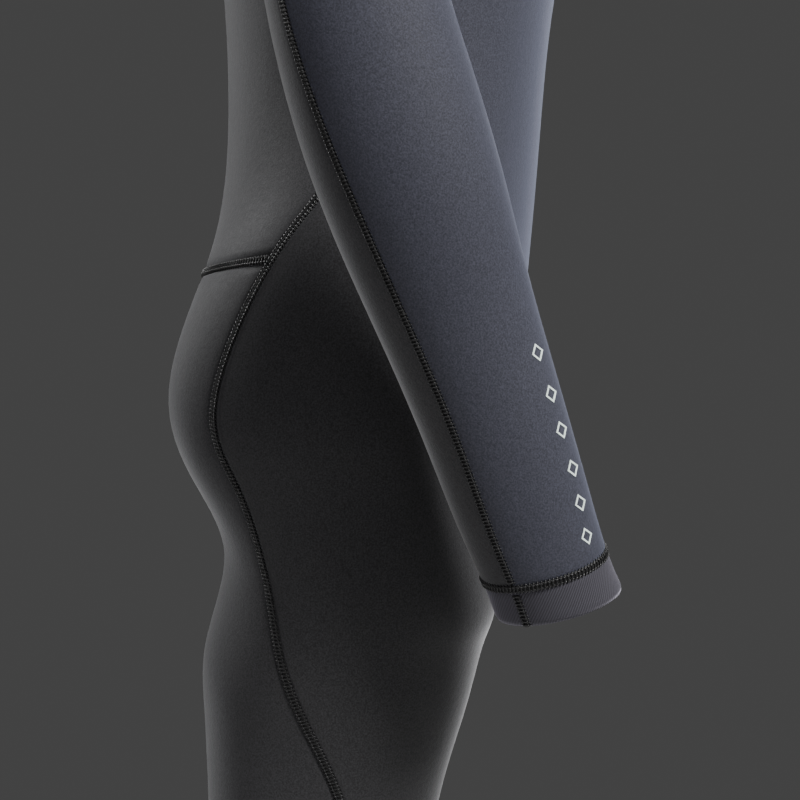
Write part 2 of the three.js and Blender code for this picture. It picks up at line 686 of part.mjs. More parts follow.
const frontRise = [gussetTip, ...columnPath(torso, 0, 0, WAIST_FRONT_ROW, 1)];
const backRise = [gussetTail, ...columnPath(torso, BACK_COLUMN, 0, WAIST_BACK_ROW, 1)];
addSeam("front_rise_seam", frontRise, { start: GUSSET_CLEARANCE });
addSeam("back_rise_seam", backRise, { start: GUSSET_CLEARANCE });

const wholeLeg = columnPath(leg, SIDE_COLUMN, ANKLE_ROW, 1, 1);
const flank = columnPath(torso, SIDE_COLUMN, 0, ARMHOLE.low, 1);
const frontOfLeg = (row) => [
  ...rowPath(leg, row, INSEAM_COLUMN, LEG_COLUMNS - 1, 1),
  ...rowPath(leg, row, 0, SIDE_COLUMN, 1),
];
addSeamPair("side_seam", [...wholeLeg, ...flank]);
addSeamPair("inseam", columnPath(leg, INSEAM_COLUMN, ANKLE_ROW, 1, 1));
addSeamPair("knee_top_seam", frontOfLeg(KNEE_TOP_ROW));
addSeamPair("knee_bottom_seam", frontOfLeg(KNEE_BOTTOM_ROW));
addSeamPair("calf_seam", rowPath(leg, CALF_TOP_ROW, SIDE_COLUMN, INSEAM_COLUMN, 1));
addSeamPair("ankle_seam", ringOf(leg, ANKLE_ROW, LEG_COLUMNS, 1), { loop: true });
addSeamPair("wrist_seam", ringOf(arm, WRIST_ROW, ARM_COLUMNS, 1), { loop: true });
addSeamPair("armhole_seam", ringOf(arm, 0, ARM_COLUMNS, 1), { loop: true });
addSeamPair("sleeve_seam_outer", columnPath(arm, OUTER_SLEEVE_COLUMN, 0, WRIST_ROW, 1));
addSeamPair("sleeve_seam_inner", columnPath(arm, INNER_SLEEVE_COLUMN, 0, WRIST_ROW, 1));
const shoulderLine = columnPath(torso, SHOULDER_COLUMN, ARMHOLE.high, COLLAR_ROW, 1);
addSeamPair("shoulder_seam", shoulderLine, { start: SHOULDER_CLEARANCE, end: SHOULDER_CLEARANCE });

// ---- Chest zip ----
const zipSlope = (ZIP_SLOPE * GIRTH) / RISE;
const lean = Math.atan(zipSlope);
const zipCentre = new THREE.Vector3(
  0,
  (TORSO[ZIP_STATION].front + ZIP_ARC_RADIUS - NECK_Y) * GIRTH,
  (TORSO[ZIP_STATION].rise[0] - NECK_Z) * RISE,
);
const zipRadiusWorn = ZIP_ARC_RADIUS * GIRTH;

// A place on the zip: angle round the arc, distance up the chest, and lift off its surface.
function zipPlace(angle, up, lift) {
  const reach = zipRadiusWorn - up * Math.sin(lean) + lift * Math.cos(lean);
  const height = up * Math.cos(lean) + lift * Math.sin(lean);
  return new THREE.Vector3(
    zipCentre.x + reach * Math.sin(angle),
    zipCentre.y - reach * Math.cos(angle),
    zipCentre.z + height,
  );
}

function zipSection(angle, low, high, bottom, top) {
  return [
    zipPlace(angle, low, top),
    zipPlace(angle, high, top),
    zipPlace(angle, high, bottom),
    zipPlace(angle, low, bottom),
  ];
}

function addTape(name, low, high) {
  const half = radians(ZIP_TAPE_HALF_ANGLE);
  const top = ZIP_TAPE_LIFT + ZIP_TAPE_THICKNESS;
  const rings = Array.from({ length: ZIP_TAPE_SPANS + 1 }, (_, i) =>
    zipSection(half - (2 * half * i) / ZIP_TAPE_SPANS, low, high, ZIP_TAPE_LIFT, top),
  );
  return addMesh(name, swept(rings), tapeCloth);
}

addTape("zip_tape_upper", ZIP_TAPE_SPACING / 2, ZIP_TAPE_WIDTH);
addTape("zip_tape_lower", -ZIP_TAPE_WIDTH, -ZIP_TAPE_SPACING / 2);

// The chain: teeth as wide blocks, joined by narrower waists, with a moulded stop at each end.
function chainRings() {
  const half = radians(ZIP_HALF_ANGLE);
  const stop = radians(ZIP_STOP_ANGLE);
  const length = 2 * (half - stop) * zipRadiusWorn;
  const teeth = Math.round(length / ZIP_TOOTH_PITCH);
  const pitch = (2 * (half - stop)) / teeth;
  const top = ZIP_CHAIN_LIFT + ZIP_CHAIN_HEIGHT;
  const section = (angle, width, height) =>
    zipSection(angle, -width / 2, width / 2, ZIP_CHAIN_LIFT, height);
  const rings = [section(half, ZIP_STOP_WIDTH, top)];
  rings.push(section(half - stop, ZIP_STOP_WIDTH, top));
  for (let tooth = 0; tooth < teeth; tooth++) {
    const start = half - stop - tooth * pitch;
    rings.push(section(start - ZIP_TOOTH_FOOT * pitch, ZIP_CHAIN_WAIST, top - ZIP_WAIST_DROP));
    rings.push(section(start - ZIP_TOOTH_FACE * pitch, ZIP_CHAIN_WIDTH, top));
    rings.push(section(start - (1 - ZIP_TOOTH_FACE) * pitch, ZIP_CHAIN_WIDTH, top));
    rings.push(section(start - (1 - ZIP_TOOTH_FOOT) * pitch, ZIP_CHAIN_WAIST, top - ZIP_WAIST_DROP));
  }
  rings.push(section(stop - half, ZIP_STOP_WIDTH, top));
  rings.push(section(-half, ZIP_STOP_WIDTH, top));
  return rings;
}
addMesh("zip_chain", swept(chainRings()), mouldedPlastic);

function plate(outline, thickness) {
  return new THREE.ExtrudeGeometry(outline, { depth: thickness, bevelEnabled: false, curveSegments: 6 });
}

// Slider: x along the chain, y up the chest, z off the chest.
const chainTop = ZIP_CHAIN_LIFT + ZIP_CHAIN_HEIGHT;
const plateBottom = chainTop + SLIDER_CLEARANCE;
const plateTop = plateBottom + SLIDER_PLATE;
const tapeTop = ZIP_TAPE_LIFT + ZIP_TAPE_THICKNESS;

function sliderGeometry() {
  const nose = SLIDER_WIDTH * SLIDER_NOSE;
  const outline = new THREE.Shape()
    .moveTo(-SLIDER_LENGTH / 2, -nose)
    .quadraticCurveTo(-SLIDER_LENGTH / 4, -SLIDER_WIDTH / 2, SLIDER_LENGTH / 4, -SLIDER_WIDTH / 2)
    .lineTo(SLIDER_LENGTH / 2, -SLIDER_WIDTH / 2)
    .lineTo(SLIDER_LENGTH / 2, SLIDER_WIDTH / 2)
    .lineTo(SLIDER_LENGTH / 4, SLIDER_WIDTH / 2)
    .quadraticCurveTo(-SLIDER_LENGTH / 4, SLIDER_WIDTH / 2, -SLIDER_LENGTH / 2, nose)
    .closePath();
  const pieces = [solidOf(plate(outline, SLIDER_PLATE), [0, 0, plateBottom])];
  const flangeBottom = tapeTop + SLIDER_CLEARANCE;
  const flangeHeight = plateBottom + SLIDER_PLATE / 2 - flangeBottom;
  for (const edge of [1, -1]) {
    const flange = new THREE.BoxGeometry(SLIDER_FLANGE_LENGTH, SLIDER_FLANGE, flangeHeight);
    const y = (edge * (SLIDER_WIDTH - SLIDER_FLANGE)) / 2;
    const x = (SLIDER_LENGTH - SLIDER_FLANGE_LENGTH) / 2 - SLIDER_FLANGE_SETBACK;
    pieces.push(solidOf(flange, [x, y, flangeBottom + flangeHeight / 2]));
  }
  const archRise = PULL_AXIS_HEIGHT + PULL_THICKNESS / 2 + SLIDER_CLEARANCE;
  const bar = new THREE.BoxGeometry(ARCH_LENGTH, ARCH_WIDTH, ARCH_BAR);
  pieces.push(solidOf(bar, [0, 0, plateTop + archRise + ARCH_BAR / 2]));
  const postHeight = archRise + ARCH_BAR;
  for (const end of [1, -1]) {
    const post = new THREE.BoxGeometry(ARCH_BAR, ARCH_WIDTH, postHeight);
    const x = (end * (ARCH_LENGTH - ARCH_BAR)) / 2;
    pieces.push(solidOf(post, [x, 0, plateTop - SLIDER_PLATE / 4 + (postHeight + SLIDER_PLATE / 4) / 2]));
  }
  return geometryFrom(pieces.reduce((whole, piece) => whole.add(piece)));
}

// Pull: a flat tag whose window goes over the arch, with its end bar under it as the axle.
function pullGeometry() {
  const start = -PULL_THICKNESS / 2;
  const neck = PULL_NECK_WIDTH / 2;
  const end = PULL_END_WIDTH / 2;
  const taper = PULL_LENGTH * PULL_TAPER;
  const outline = new THREE.Shape()
    .moveTo(start, -neck)
    .lineTo(taper, -neck)
    .lineTo(PULL_LENGTH - end, -end)
    .absarc(PULL_LENGTH - end, 0, end, -Math.PI / 2, Math.PI / 2, false)
    .lineTo(taper, neck)
    .lineTo(start, neck)
    .closePath();
  const near = PULL_THICKNESS / 2;
  const far = near + PULL_WINDOW_LENGTH;
  const side = PULL_WINDOW_WIDTH / 2;
  const window = new THREE.Path()
    .moveTo(near, -side)
    .lineTo(near, side)
    .lineTo(far, side)
    .lineTo(far, -side)
    .closePath();
  outline.holes.push(window);
  return mergeVertices(plate(outline, PULL_THICKNESS).deleteAttribute("normal").deleteAttribute("uv"));
}

const slider = new THREE.Group();
const rest = radians(SLIDER_REST_ANGLE);
const uphill = new THREE.Vector3(-Math.sin(rest), Math.cos(rest), 0).multiplyScalar(Math.sin(lean));
uphill.z = Math.cos(lean);
const offward = new THREE.Vector3(Math.sin(rest), -Math.cos(rest), 0).multiplyScalar(Math.cos(lean));
offward.z = Math.sin(lean);
const onward = new THREE.Vector3(Math.cos(rest), Math.sin(rest), 0);
slider.quaternion.setFromRotationMatrix(new THREE.Matrix4().makeBasis(onward, uphill, offward));
slider.position.copy(zipPlace(rest, 0, 0));
suit.add(slider);
addMesh("zip_slider", sliderGeometry(), mouldedPlastic, slider);
const pull = addMesh("zip_pull", pullGeometry(), pullRubber, slider);
pull.position.z = plateTop + PULL_AXIS_HEIGHT - PULL_THICKNESS / 2;

export default suit;
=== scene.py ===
"""Full-length chest-zip wetsuit: fine surface, stitching, zip, finishes and studio over the CAD frame."""
import math

import bpy
import numpy as np
from bpy.props import FloatProperty, IntProperty, PointerProperty, StringProperty
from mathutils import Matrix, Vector


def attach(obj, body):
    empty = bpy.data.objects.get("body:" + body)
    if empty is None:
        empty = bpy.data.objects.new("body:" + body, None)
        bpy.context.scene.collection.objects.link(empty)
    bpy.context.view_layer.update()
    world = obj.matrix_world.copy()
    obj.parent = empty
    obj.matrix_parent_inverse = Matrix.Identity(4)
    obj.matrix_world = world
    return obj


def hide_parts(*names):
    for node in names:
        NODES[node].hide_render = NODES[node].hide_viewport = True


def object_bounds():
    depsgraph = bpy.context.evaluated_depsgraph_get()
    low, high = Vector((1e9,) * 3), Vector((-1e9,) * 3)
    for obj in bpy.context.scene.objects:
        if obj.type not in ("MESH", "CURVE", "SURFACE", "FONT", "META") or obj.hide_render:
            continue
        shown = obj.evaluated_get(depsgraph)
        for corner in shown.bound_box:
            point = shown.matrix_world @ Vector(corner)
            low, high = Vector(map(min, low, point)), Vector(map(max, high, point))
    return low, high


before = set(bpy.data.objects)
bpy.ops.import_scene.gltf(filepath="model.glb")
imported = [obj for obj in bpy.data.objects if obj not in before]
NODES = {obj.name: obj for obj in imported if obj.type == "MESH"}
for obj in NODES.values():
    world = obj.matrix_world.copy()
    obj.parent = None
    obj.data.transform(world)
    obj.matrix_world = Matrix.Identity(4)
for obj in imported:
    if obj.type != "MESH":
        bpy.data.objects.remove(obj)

bl_info = {
    "name": "Wetsuit",
    "version": (1, 0, 0),
    "blender": (4, 5, 0),
    "location": "View3D > Sidebar > Wetsuit",
    "description": "Sewn neoprene panels, flatlock seams and a chest zip on the packed frame",
    "category": "Object",
}

MM = 0.001
CAD_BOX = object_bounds()

# The body that the suit takes its shape from, in millimetres above the floor. The frame's origin
# is at the neck. Rows go up the torso and down the limbs; torso and leg columns go from the front
# to the back, and sleeve columns from the outside to the back.
NECK_Y, NECK_Z = 5.5, 1517.0
TORSO_ROUNDNESS, LEG_ROUNDNESS = 0.85, 0.94
BACK_COLUMN, SIDE_COLUMN = 10, 6
ARM_COLUMNS, LEG_COLUMNS = 12, 14
HOLE_LOW, HOLE_HIGH, HOLE_FRONT, HOLE_BACK = 8, 11, 4, 7
ZIP_STATION, ZIP_ARC_RADIUS, ZIP_SLOPE = 10, 253.0, 0.4

# Torso stations: half width, y at front, side and back, cleft, floor height at front, side and
# back, then the y of the side seam or of the four columns round the armhole.
TORSO = (
    (170, -62, 20, 132, 26, (852, 868, 860), (86,)),
    (171, -66, 20, 148, 26, (890, 912, 915), (98,)),
    (160, -70, 15, 121, 10, (922, 990, 975), (67,)),
    (146, -72, 10, 103, 2, (950, 1030, 1026), (36,)),
    (136, -79, 8, 99, 0, (1030, 1085, 1085), (15,)),
    (140, -86, 6, 102, 0, (1112, 1145, 1145), (9,)),
    (148, -98, 4, 108, 0, (1182, 1205, 1205), (8,)),
    (155, -109, 4, 113, 0, (1242, 1262, 1266), (9,)),
    (156, -111, 4, 113, 0, (1297, 1312, 1320), (-32, -10, 12, 36)),
    (154, -103, 4, 108, 0, (1341, 1350, 1358), (-50, -20, 20, 56)),
    (160, -88, 5, 99, 0, (1382, 1382, 1396), (-50, -16, 18, 56)),
    (166, -66, 6, 85, 0, (1420, 1425, 1428), (-38, -12, 14, 44)),
    (110, -46, 8, 71, 0, (1447, 1458, 1454), (-26, -6, 18, 42)),
    (66, -37, 10, 60, 0, (1464, 1483, 1480), (-15, 1, 19, 36)),
    (59, -41, 6, 52, 0, (1502, 1525, 1532), (-18, -2, 15, 31)),
)
# The line between the legs: y and floor height.
CROTCH = ((72, 830), (24, 815), (-28, 829))
# Leg stations: inner and outer x, front and back y, angle of the side seam in degrees, floor
# height at front, outside, back and inside.
LEG = (
    (9, 167, -54, 97, 129, (802, 810, 823, 792)),
    (13, 163, -47, 107, 114, (775, 775, 777, 768)),
    (18, 158, -37, 109, 99, (738, 738, 738, 736)),
    (24, 152, -23, 107, 80, (690,) * 4),
    (30, 146, -12, 105, 70, (632,) * 4),
    (34, 141, -5, 105, 66, (578,) * 4),
    (37, 138, 0, 106, 66, (528,) * 4),
    (39, 137, 4, 109, 67, (482,) * 4),
    (41, 135, 11, 115, 68, (434,) * 4),
    (41, 135, 19, 127, 70, (382,) * 4),
    (42, 134, 26, 134, 72, (328,) * 4),
    (48, 130, 33, 131, 76, (270,) * 4),
    (55, 126, 39, 125, 80, (212,) * 4),
    (59, 124, 43, 121, 84, (158,) * 4),
    (60, 124, 44, 122, 86, (118,) * 4),
    (59, 125, 43, 123, 86, (90,) * 4),
)
# Sleeve stations: centre, direction down the arm, half sizes across and fore-and-aft, angle of
# the outer sleeve seam in degrees.
ARM = (
    ((194, 6, 1345), (0.864, 0.05, -0.504), 56, 54, 52),
    ((210, 12, 1304), (0.66, 0.1, -0.74), 49.5, 50.5, 56),
    ((222, 18, 1254), (0.3, 0.08, -0.95), 44, 48, 58),
    ((233, 24, 1204), (0.18, 0.06, -0.98), 41, 46, 58),
    ((241, 26, 1158), (0.13, -0.06, -0.99), 39.5, 44, 56),
    ((246, 21, 1115), (0.04, -0.22, -0.975), 39.5, 43.5, 52),
    ((245, 8, 1067), (-0.07, -0.29, -0.95), 40.5, 45, 45),
    ((239, -8, 1018), (-0.14, -0.31, -0.94), 39.5, 44, 39),
    ((230, -25, 969), (-0.18, -0.32, -0.93), 35.5, 40, 36),
    ((220, -43, 919), (-0.2, -0.31, -0.93), 32.5, 36.8, 34),
    ((209, -60.5, 868), (-0.2, -0.29, -0.935), 30, 34.5, 34),
    ((201.5, -73, 834), (-0.2, -0.25, -0.945), 27.5, 32.5, 34),
    ((197.5, -81, 814), (-0.2, -0.24, -0.95), 26.5, 33, 35),
)
INNER_SLEEVE_SEAM = 225.0
# Torso row and column of each point round the armhole, from the shoulder seam backwards.
ARMHOLE = (
    *((11, 5), (11, 6), (11, 7), (10, 7), (9, 7), (8, 7)),
    *((8, 6), (8, 5), (8, 4), (9, 4), (10, 4), (11, 4)),
)
WAIST_BACK_ROW, WAIST_FRONT_ROW, COLLAR_ROW, SHOULDER_COLUMN = 2, 3, 13, 5
KNEE_TOP_ROW, KNEE_BOTTOM_ROW, CALF_TOP_ROW, INSEAM_COLUMN = 6, 10, 7, 12
ANKLE_ROW, WRIST_ROW = len(LEG) - 1, len(ARM) - 1
OUTER_SLEEVE_COLUMN, INNER_SLEEVE_COLUMN = 2, 8
# Open ends: the centre of the left ankle's rim, the radii that the cuffs' ribs are laid round, and
# how far from its centre a rim can be.
ANKLE_END, ANKLE_RADIUS, WRIST_RADIUS, RIM_REACH = (92, 83, 90), 36, 30, 60
# Rounds in which the control net is moved until its smooth surface passes through the stations.
FIT_ROUNDS = 12

# Flatlock sections, as shares of the half width and heights in millimetres over the cloth: the bed
# under the threads, and one looper thread without its ends.
BED = ((0.0, -1.0), (0.8, -0.55), (0.55, 0.0), (0.0, 0.2), (-0.55, 0.0), (-0.8, -0.55))
LOOPER = ((-0.75, 0.2), (-0.3, 0.46), (0.3, 0.46), (0.75, 0.2))
BED_SPAN = 2.5
# Height of a looper thread's ends, the share of the dip that they follow, and its slant and sides.
LOOPER_END, LOOPER_SINK, LOOPER_SLANT, LOOPER_SIDES = -0.12, 0.4, 0.3, 5
# Chain stitches: place across, height, lean, length against the pitch and radius against the thread.
CHAIN_ROW, CHAIN_LIFT, CHAIN_LEAN, CHAIN_LENGTH, CHAIN_RADIUS = 0.52, 0.62, 0.3, 1.02, 1.35
# A stitch's grain: where its girth is, in shares of its length, and how much of the radius it takes.
GRAIN_FLANK, GRAIN_GIRTH = 0.28, 0.8
# How far to the side of a seam a neighbouring point has to lie, as a share of its distance.
SIDEWAYS = 0.3

# Chest zip, in millimetres, and half arcs in degrees.
TAPE_ARC, TAPE_SPANS, TAPE_UNDERSIDE = 28.5, 120, 0.35
# Tape section: distance from the middle of the zip and height of the upper face.
TAPE = (
    *((0.25, 1.2), (1.2, 1.45), (1.3, 1.35), (3, 1.3), (5, 1.3)),
    *((7, 1.3), (9, 1.3), (10.6, 1.3), (11.6, 1.2), (12.0, 0.7)),
)
# Stitch rows on a tape: distance from the middle, share of the arc, pitch, height, length, radius.
TAPE_ROWS, ROW_SHARE, ROW_PITCH, ROW_LIFT = (4.4, 10.4), 0.985, 2.4, 1.42
ROW_LENGTH, ROW_RADIUS = 1.7, 0.28
CHAIN_ARC, STOP_ARC, TOOTH_PITCH, TOOTH_FOOT, TOOTH_ROUNDING = 22.5, 0.9, 2.5, 1.65, 0.35
# Head and root of an upper tooth: width against the pitch, lower and upper edge, top and taper.
TOOTH = ((0.62, -0.9, 2.35, 3.6, 0.22), (1.2, 1.0, 2.3, 2.6, 0.12))
# End stop: lower and upper edge, top and taper. Strip: the section of the band under the teeth.
STOP = (-4, 4, 3.65, 0.15)
STRIP, STRIP_SPANS = ((-1.0, 1.62), (-1.0, 1.9), (1.0, 1.9), (1.0, 1.62)), 90
# Slider and pull: edge radius, its facets, and the angle from which an edge is rounded.
EDGE_ROUNDING, EDGE_SEGMENTS, EDGE_ANGLE, WELD_GAP = 0.3, 3, 35, 0.01

# Sleeve marks: the centre of each, as y and floor height, half a lozenge's length and width, its
# hole against its outline, its height over the cloth and its depth in it, and the forearm's line.
MARKS = ((-66.7, 944.4), (-73.7, 923.8), (-79.2, 905.7), (-85.2, 886.2), (-89.2, 868.7), (-92.7, 851.7))
MARK_LENGTH, MARK_WIDTH, MARK_HOLE, MARK_LIFT, MARK_DEPTH = 4.6, 2.9, 0.72, 0.22, 0.3
FOREARM = (-0.31, -0.95)
# A mark is laid over the nearest points that face outward by this much, weighted by closeness.
MARK_FACING, MARK_NEAREST, MARK_BLUR = 0.2, 4, 0.5

# Camera: the floor height it looks at, distance in metres, elevation in degrees, lens and film.
CAMERA_HEIGHT, CAMERA_REACH, CAMERA_RISE, LENS, FILM, CLIP = 900, 1.4, 5, 107.1, 36.0, 0.05
# Softboxes: name, place in metres, width, height, power in watts and colour. All face LIT.
LIT = (0, 0, -0.55)
LIGHTS = (
    ("rear strip", (0.7, 1.4, 0.35), 0.5, 0.9, 26, (1.0, 1.0, 1.0)),
    ("front rim", (0.7, -1.4, 0.8), 0.5, 0.9, 4, (0.9, 0.95, 1.0)),
    ("key", (-1.4, -1.35, 1.1), 0.7, 0.7, 140, (1.0, 0.985, 0.975)),
    ("low fill", (-1.5, 1.2, -0.9), 0.7, 0.7, 9, (1.0, 0.97, 1.0)),
    ("left fill", (2.2, -0.3, 0.4), 1.6, 1.6, 30, (1.0, 1.0, 1.0)),
    ("overhead", (0.2, 0.2, 1.5), 1.4, 1.4, 4, (1.0, 1.0, 1.0)),
)
# Floor disc: radius and depth of its rims, from the bottom up, its sides and its gap to the feet.
FLOOR, FLOOR_SIDES, FLOOR_GAP = ((1.2, 0.03), (1.2, 0.006), (1.15, 0.0)), 96, 0.002


def torso_angle(station, y):
    """Angle round the torso, from the front, at which the section reaches y."""
    _, front, side, back = station[:4]
    if y < side:
        return math.acos(((side - y) / (side - front)) ** (1 / TORSO_ROUNDNESS))
    return math.pi - math.acos(((y - side) / (back - side)) ** (1 / TORSO_ROUNDNESS))


def torso_angles(station):
    stops = [torso_angle(station, y) for y in station[6]]
    first, last = (SIDE_COLUMN, SIDE_COLUMN) if len(stops) == 1 else (HOLE_FRONT, HOLE_BACK)
    rest = math.pi - stops[-1]
    after = [stops[-1] + rest * n / (BACK_COLUMN - last) for n in range(1, BACK_COLUMN - last + 1)]
    return [stops[0] * n / first for n in range(first)] + stops + after


def torso_point(station, angle):
    half, front, side, back, cleft, rise, _ = station
    swing = math.cos(angle)
    reach = abs(swing) ** TORSO_ROUNDNESS
    x = half * max(math.sin(angle), 0) ** TORSO_ROUNDNESS
    if swing > 0:
        return x, side - (side - front) * reach, rise[1] + (rise[0] - rise[1]) * swing**2
    behind = math.pi - angle
    dip = cleft * math.cos(2 * behind) ** 2 if behind < math.pi / 4 else 0
    return x, side + (back - side) * reach - dip, rise[1] + (rise[2] - rise[1]) * swing**2


def chest_point(place):
    """Along the zip the chest is part of a cone with an upright axis."""
    x, _, z = place
    axis = TORSO[ZIP_STATION][1] + ZIP_ARC_RADIUS
    radius = ZIP_ARC_RADIUS + (TORSO[ZIP_STATION][5][0] - z) * ZIP_SLOPE
    return x, axis - math.sqrt(radius**2 - x * x), z


def leg_angles(station):
    seam, front, inside = math.radians(station[4]), -math.pi / 2, 1.5 * math.pi
    before, behind = SIDE_COLUMN + 2, INSEAM_COLUMN - SIDE_COLUMN
    ahead = [front + (seam - front) * (n + 2) / before for n in range(SIDE_COLUMN + 1)]
    after = [seam + (inside - seam) * n / behind for n in range(1, behind + 1)]
    return ahead + after + [front + (seam - front) / before]


def signed_power(value, power):
    return math.copysign(abs(value) ** power, value)


def leg_point(station, angle):
    inner, outer, front, back, _, rise = station
    sine, cosine = math.sin(angle), math.cos(angle)
    x = (inner + outer) / 2 + (outer - inner) / 2 * signed_power(sine, LEG_ROUNDNESS)
    y = (front + back) / 2 - (back - front) / 2 * signed_power(cosine, LEG_ROUNDNESS)
    z = (rise[0] if cosine > 0 else rise[2]) * cosine**2 + (rise[1] if sine > 0 else rise[3]) * sine**2
    return x, y, z


def arm_angles(station):
    outer, inner = math.radians(station[4]), math.radians(INNER_SLEEVE_SEAM)
    under = INNER_SLEEVE_COLUMN - OUTER_SLEEVE_COLUMN
    angles = [0.0] * ARM_COLUMNS
    for step in range(ARM_COLUMNS):
        column = (OUTER_SLEEVE_COLUMN + step) % ARM_COLUMNS
        if step <= under:
            angles[column] = outer + (inner - outer) * step / under
        else:
            angles[column] = inner + (outer + 2 * math.pi - inner) * (step - under) / (ARM_COLUMNS - under)
    return angles


def arm_point(station, angle):
    at, along, out, fore, _ = station
    axis = Vector(along).normalized()
    across = Vector((0, 0, 1)) if axis.x > 0.5 else Vector((1, 0, 0))
    across = (across - axis * across.dot(axis)).normalized()
    back = across.cross(axis)
    if back.y < 0:
        back.negate()
    return tuple(Vector(at) + across * (out * math.cos(angle)) + back * (fore * math.sin(angle)))


def cuff_end(kind, side):
    """Centre of an open cuff's rim, in metres, and the direction out of it."""
    (x, y, z), (u, v, w) = (ANKLE_END, (0, 0, -1)) if kind == "ankle" else ARM[-1][:2]
    axis = np.array((side * u, v, w))
    return np.array((side * x, y - NECK_Y, z - NECK_Z)) * MM, axis / np.linalg.norm(axis)


class Net:
    """The control net: named points, four-sided facets and the panel that each belongs to."""

    def __init__(self):
        self.index, self.points, self.facets, self.panels = {}, [], [], []
        for row, station in enumerate(TORSO):
            for column, angle in enumerate(torso_angles(station)):
                if HOLE_LOW < row < HOLE_HIGH and HOLE_FRONT < column < HOLE_BACK:
                    continue
                place = torso_point(station, angle)
                if abs(row - ZIP_STATION) <= 1 and column <= HOLE_FRONT:
                    place = chest_point(place)
                for side in (0,) if column in (0, BACK_COLUMN) else (1, -1):
                    self.add(("torso", row, column, side), place, side)
        for n, (y, z) in enumerate(CROTCH):
            self.add(("leg", 0, BACK_COLUMN + 1 + n, 0), (0, y, z), 0)
        for kind, stations, angles, point in (
            ("leg", LEG, leg_angles, leg_point),
            ("arm", ARM, arm_angles, arm_point),
        ):
            for row, station in enumerate(stations, 1):
                for column, angle in enumerate(angles(station)):
                    for side in (1, -1):
                        self.add((kind, row, column, side), point(station, angle), side)
        for side in (1, -1):
            self.join(side)

    def add(self, name, place, side):
        x, y, z = place
        self.index[name] = len(self.points)
        self.points.append(((side * x) * MM, (y - NECK_Y) * MM, (z - NECK_Z) * MM))

    def torso(self, row, column, side):
        return self.index["torso", row, column, 0 if column in (0, BACK_COLUMN) else side]

    def leg(self, row, column, side):
        column %= LEG_COLUMNS
        if row > 0:
            return self.index["leg", row, column, side]
        return self.torso(0, column, side) if column <= BACK_COLUMN else self.index["leg", 0, column, 0]

    def arm(self, row, column, side):
        column %= ARM_COLUMNS
        return self.index["arm", row, column, side] if row > 0 else self.torso(*ARMHOLE[column], side)

    def facet(self, panel, corners, side):
        a, b, c, d = corners
        self.facets.append((a, b, c, d) if side > 0 else (a, d, c, b))
        self.panels.append(panel)

    def join(self, side):
        hand = "left" if side > 0 else "right"
        for row in range(len(TORSO) - 1):
            for column in range(BACK_COLUMN):
                if HOLE_LOW <= row < HOLE_HIGH and HOLE_FRONT <= column < HOLE_BACK:
                    continue
                corners = [(row, column), (row, column + 1), (row + 1, column + 1), (row + 1, column)]
                self.facet(torso_panel(row, column, hand), [self.torso(*c, side) for c in corners], side)
        for row in range(len(LEG)):
            for column in range(LEG_COLUMNS):
                corners = [(row + 1, column), (row + 1, column + 1), (row, column + 1), (row, column)]
                self.facet(leg_panel(row, column, hand), [self.leg(*c, side) for c in corners], side)
        for row in range(len(ARM)):
            for column in range(ARM_COLUMNS):
                corners = [(row, column), (row + 1, column), (row + 1, column + 1), (row, column + 1)]
                self.facet(arm_panel(row, column, hand), [self.arm(*c, side) for c in corners], side)


def torso_panel(row, column, hand):
    if row >= COLLAR_ROW:
        return "collar"
    if row >= ZIP_STATION:
        edge = HOLE_FRONT if row == ZIP_STATION else SHOULDER_COLUMN
        return "front_yoke" if column < edge else "back_yoke"
    if column < SIDE_COLUMN:
        return "front_body" if row >= WAIST_FRONT_ROW else f"front_thigh_{hand}"
    return "back_body" if row >= WAIST_BACK_ROW else f"seat_{hand}"


def leg_panel(row, column, hand):
    if row == 0 and column in (INSEAM_COLUMN - 1, INSEAM_COLUMN):
        return "crotch_gusset"
    if row == ANKLE_ROW:
        return f"ankle_cuff_{hand}"
    if SIDE_COLUMN <= column < INSEAM_COLUMN:
        return f"seat_{hand}" if row < CALF_TOP_ROW else f"calf_{hand}"
    if row < KNEE_TOP_ROW:
        return f"front_thigh_{hand}"
    return f"knee_{hand}" if row < KNEE_BOTTOM_ROW else f"shin_{hand}"


def arm_panel(row, column, hand):
    if row == WRIST_ROW:
        return f"wrist_cuff_{hand}"
    under = OUTER_SLEEVE_COLUMN <= column < INNER_SLEEVE_COLUMN
    return f"sleeve_under_{hand}" if under else f"sleeve_outer_{hand}"


# Smooth surface: Catmull-Clark subdivision through the stations.
def edges_of(facets):
    """Every edge once, the edges of each facet, and how many facets share each."""
    sides = np.concatenate([facets[:, [n, (n + 1) % 4]] for n in range(4)])
    edges, of_facet, shared = np.unique(np.sort(sides, 1), axis=0, return_inverse=True, return_counts=True)
    return edges, of_facet.reshape(4, -1).T, shared


def gather(count, where, values):
    total = np.zeros((count, 3))
    np.add.at(total, where, values)
    return total


def beyond(count, edges, values):
    """For each point, the sum of the values at the far ends of its edges."""
    a, b = edges.T
    return gather(count, a, values[b]) + gather(count, b, values[a])


def around(count, facets, values):
    """For each point, the sum of the values of its facets."""
    return sum(gather(count, corner, values) for corner in facets.T)


def tally(count, groups):
    """How many of the edges or facets each point belongs to."""
    return np.bincount(groups.ravel(), minlength=count)[:, None]


def limit(points, facets):
    """Where each point of the net ends up on the smooth surface."""
    edges, _, shared = edges_of(facets)
    count = len(points)
    valence = tally(count, edges)
    near = beyond(count, edges, points)
    far = sum(gather(count, facets[:, n], points[facets[:, (n + 2) % 4]]) for n in range(4))
    smooth = (valence**2 * points + 4 * near + far) / (valence * (valence + 5))
    rim = edges[shared == 1]
    on_rim = np.unique(rim)
    smooth[on_rim] = (4 * points[on_rim] + beyond(count, rim, points)[on_rim]) / 6
    return smooth


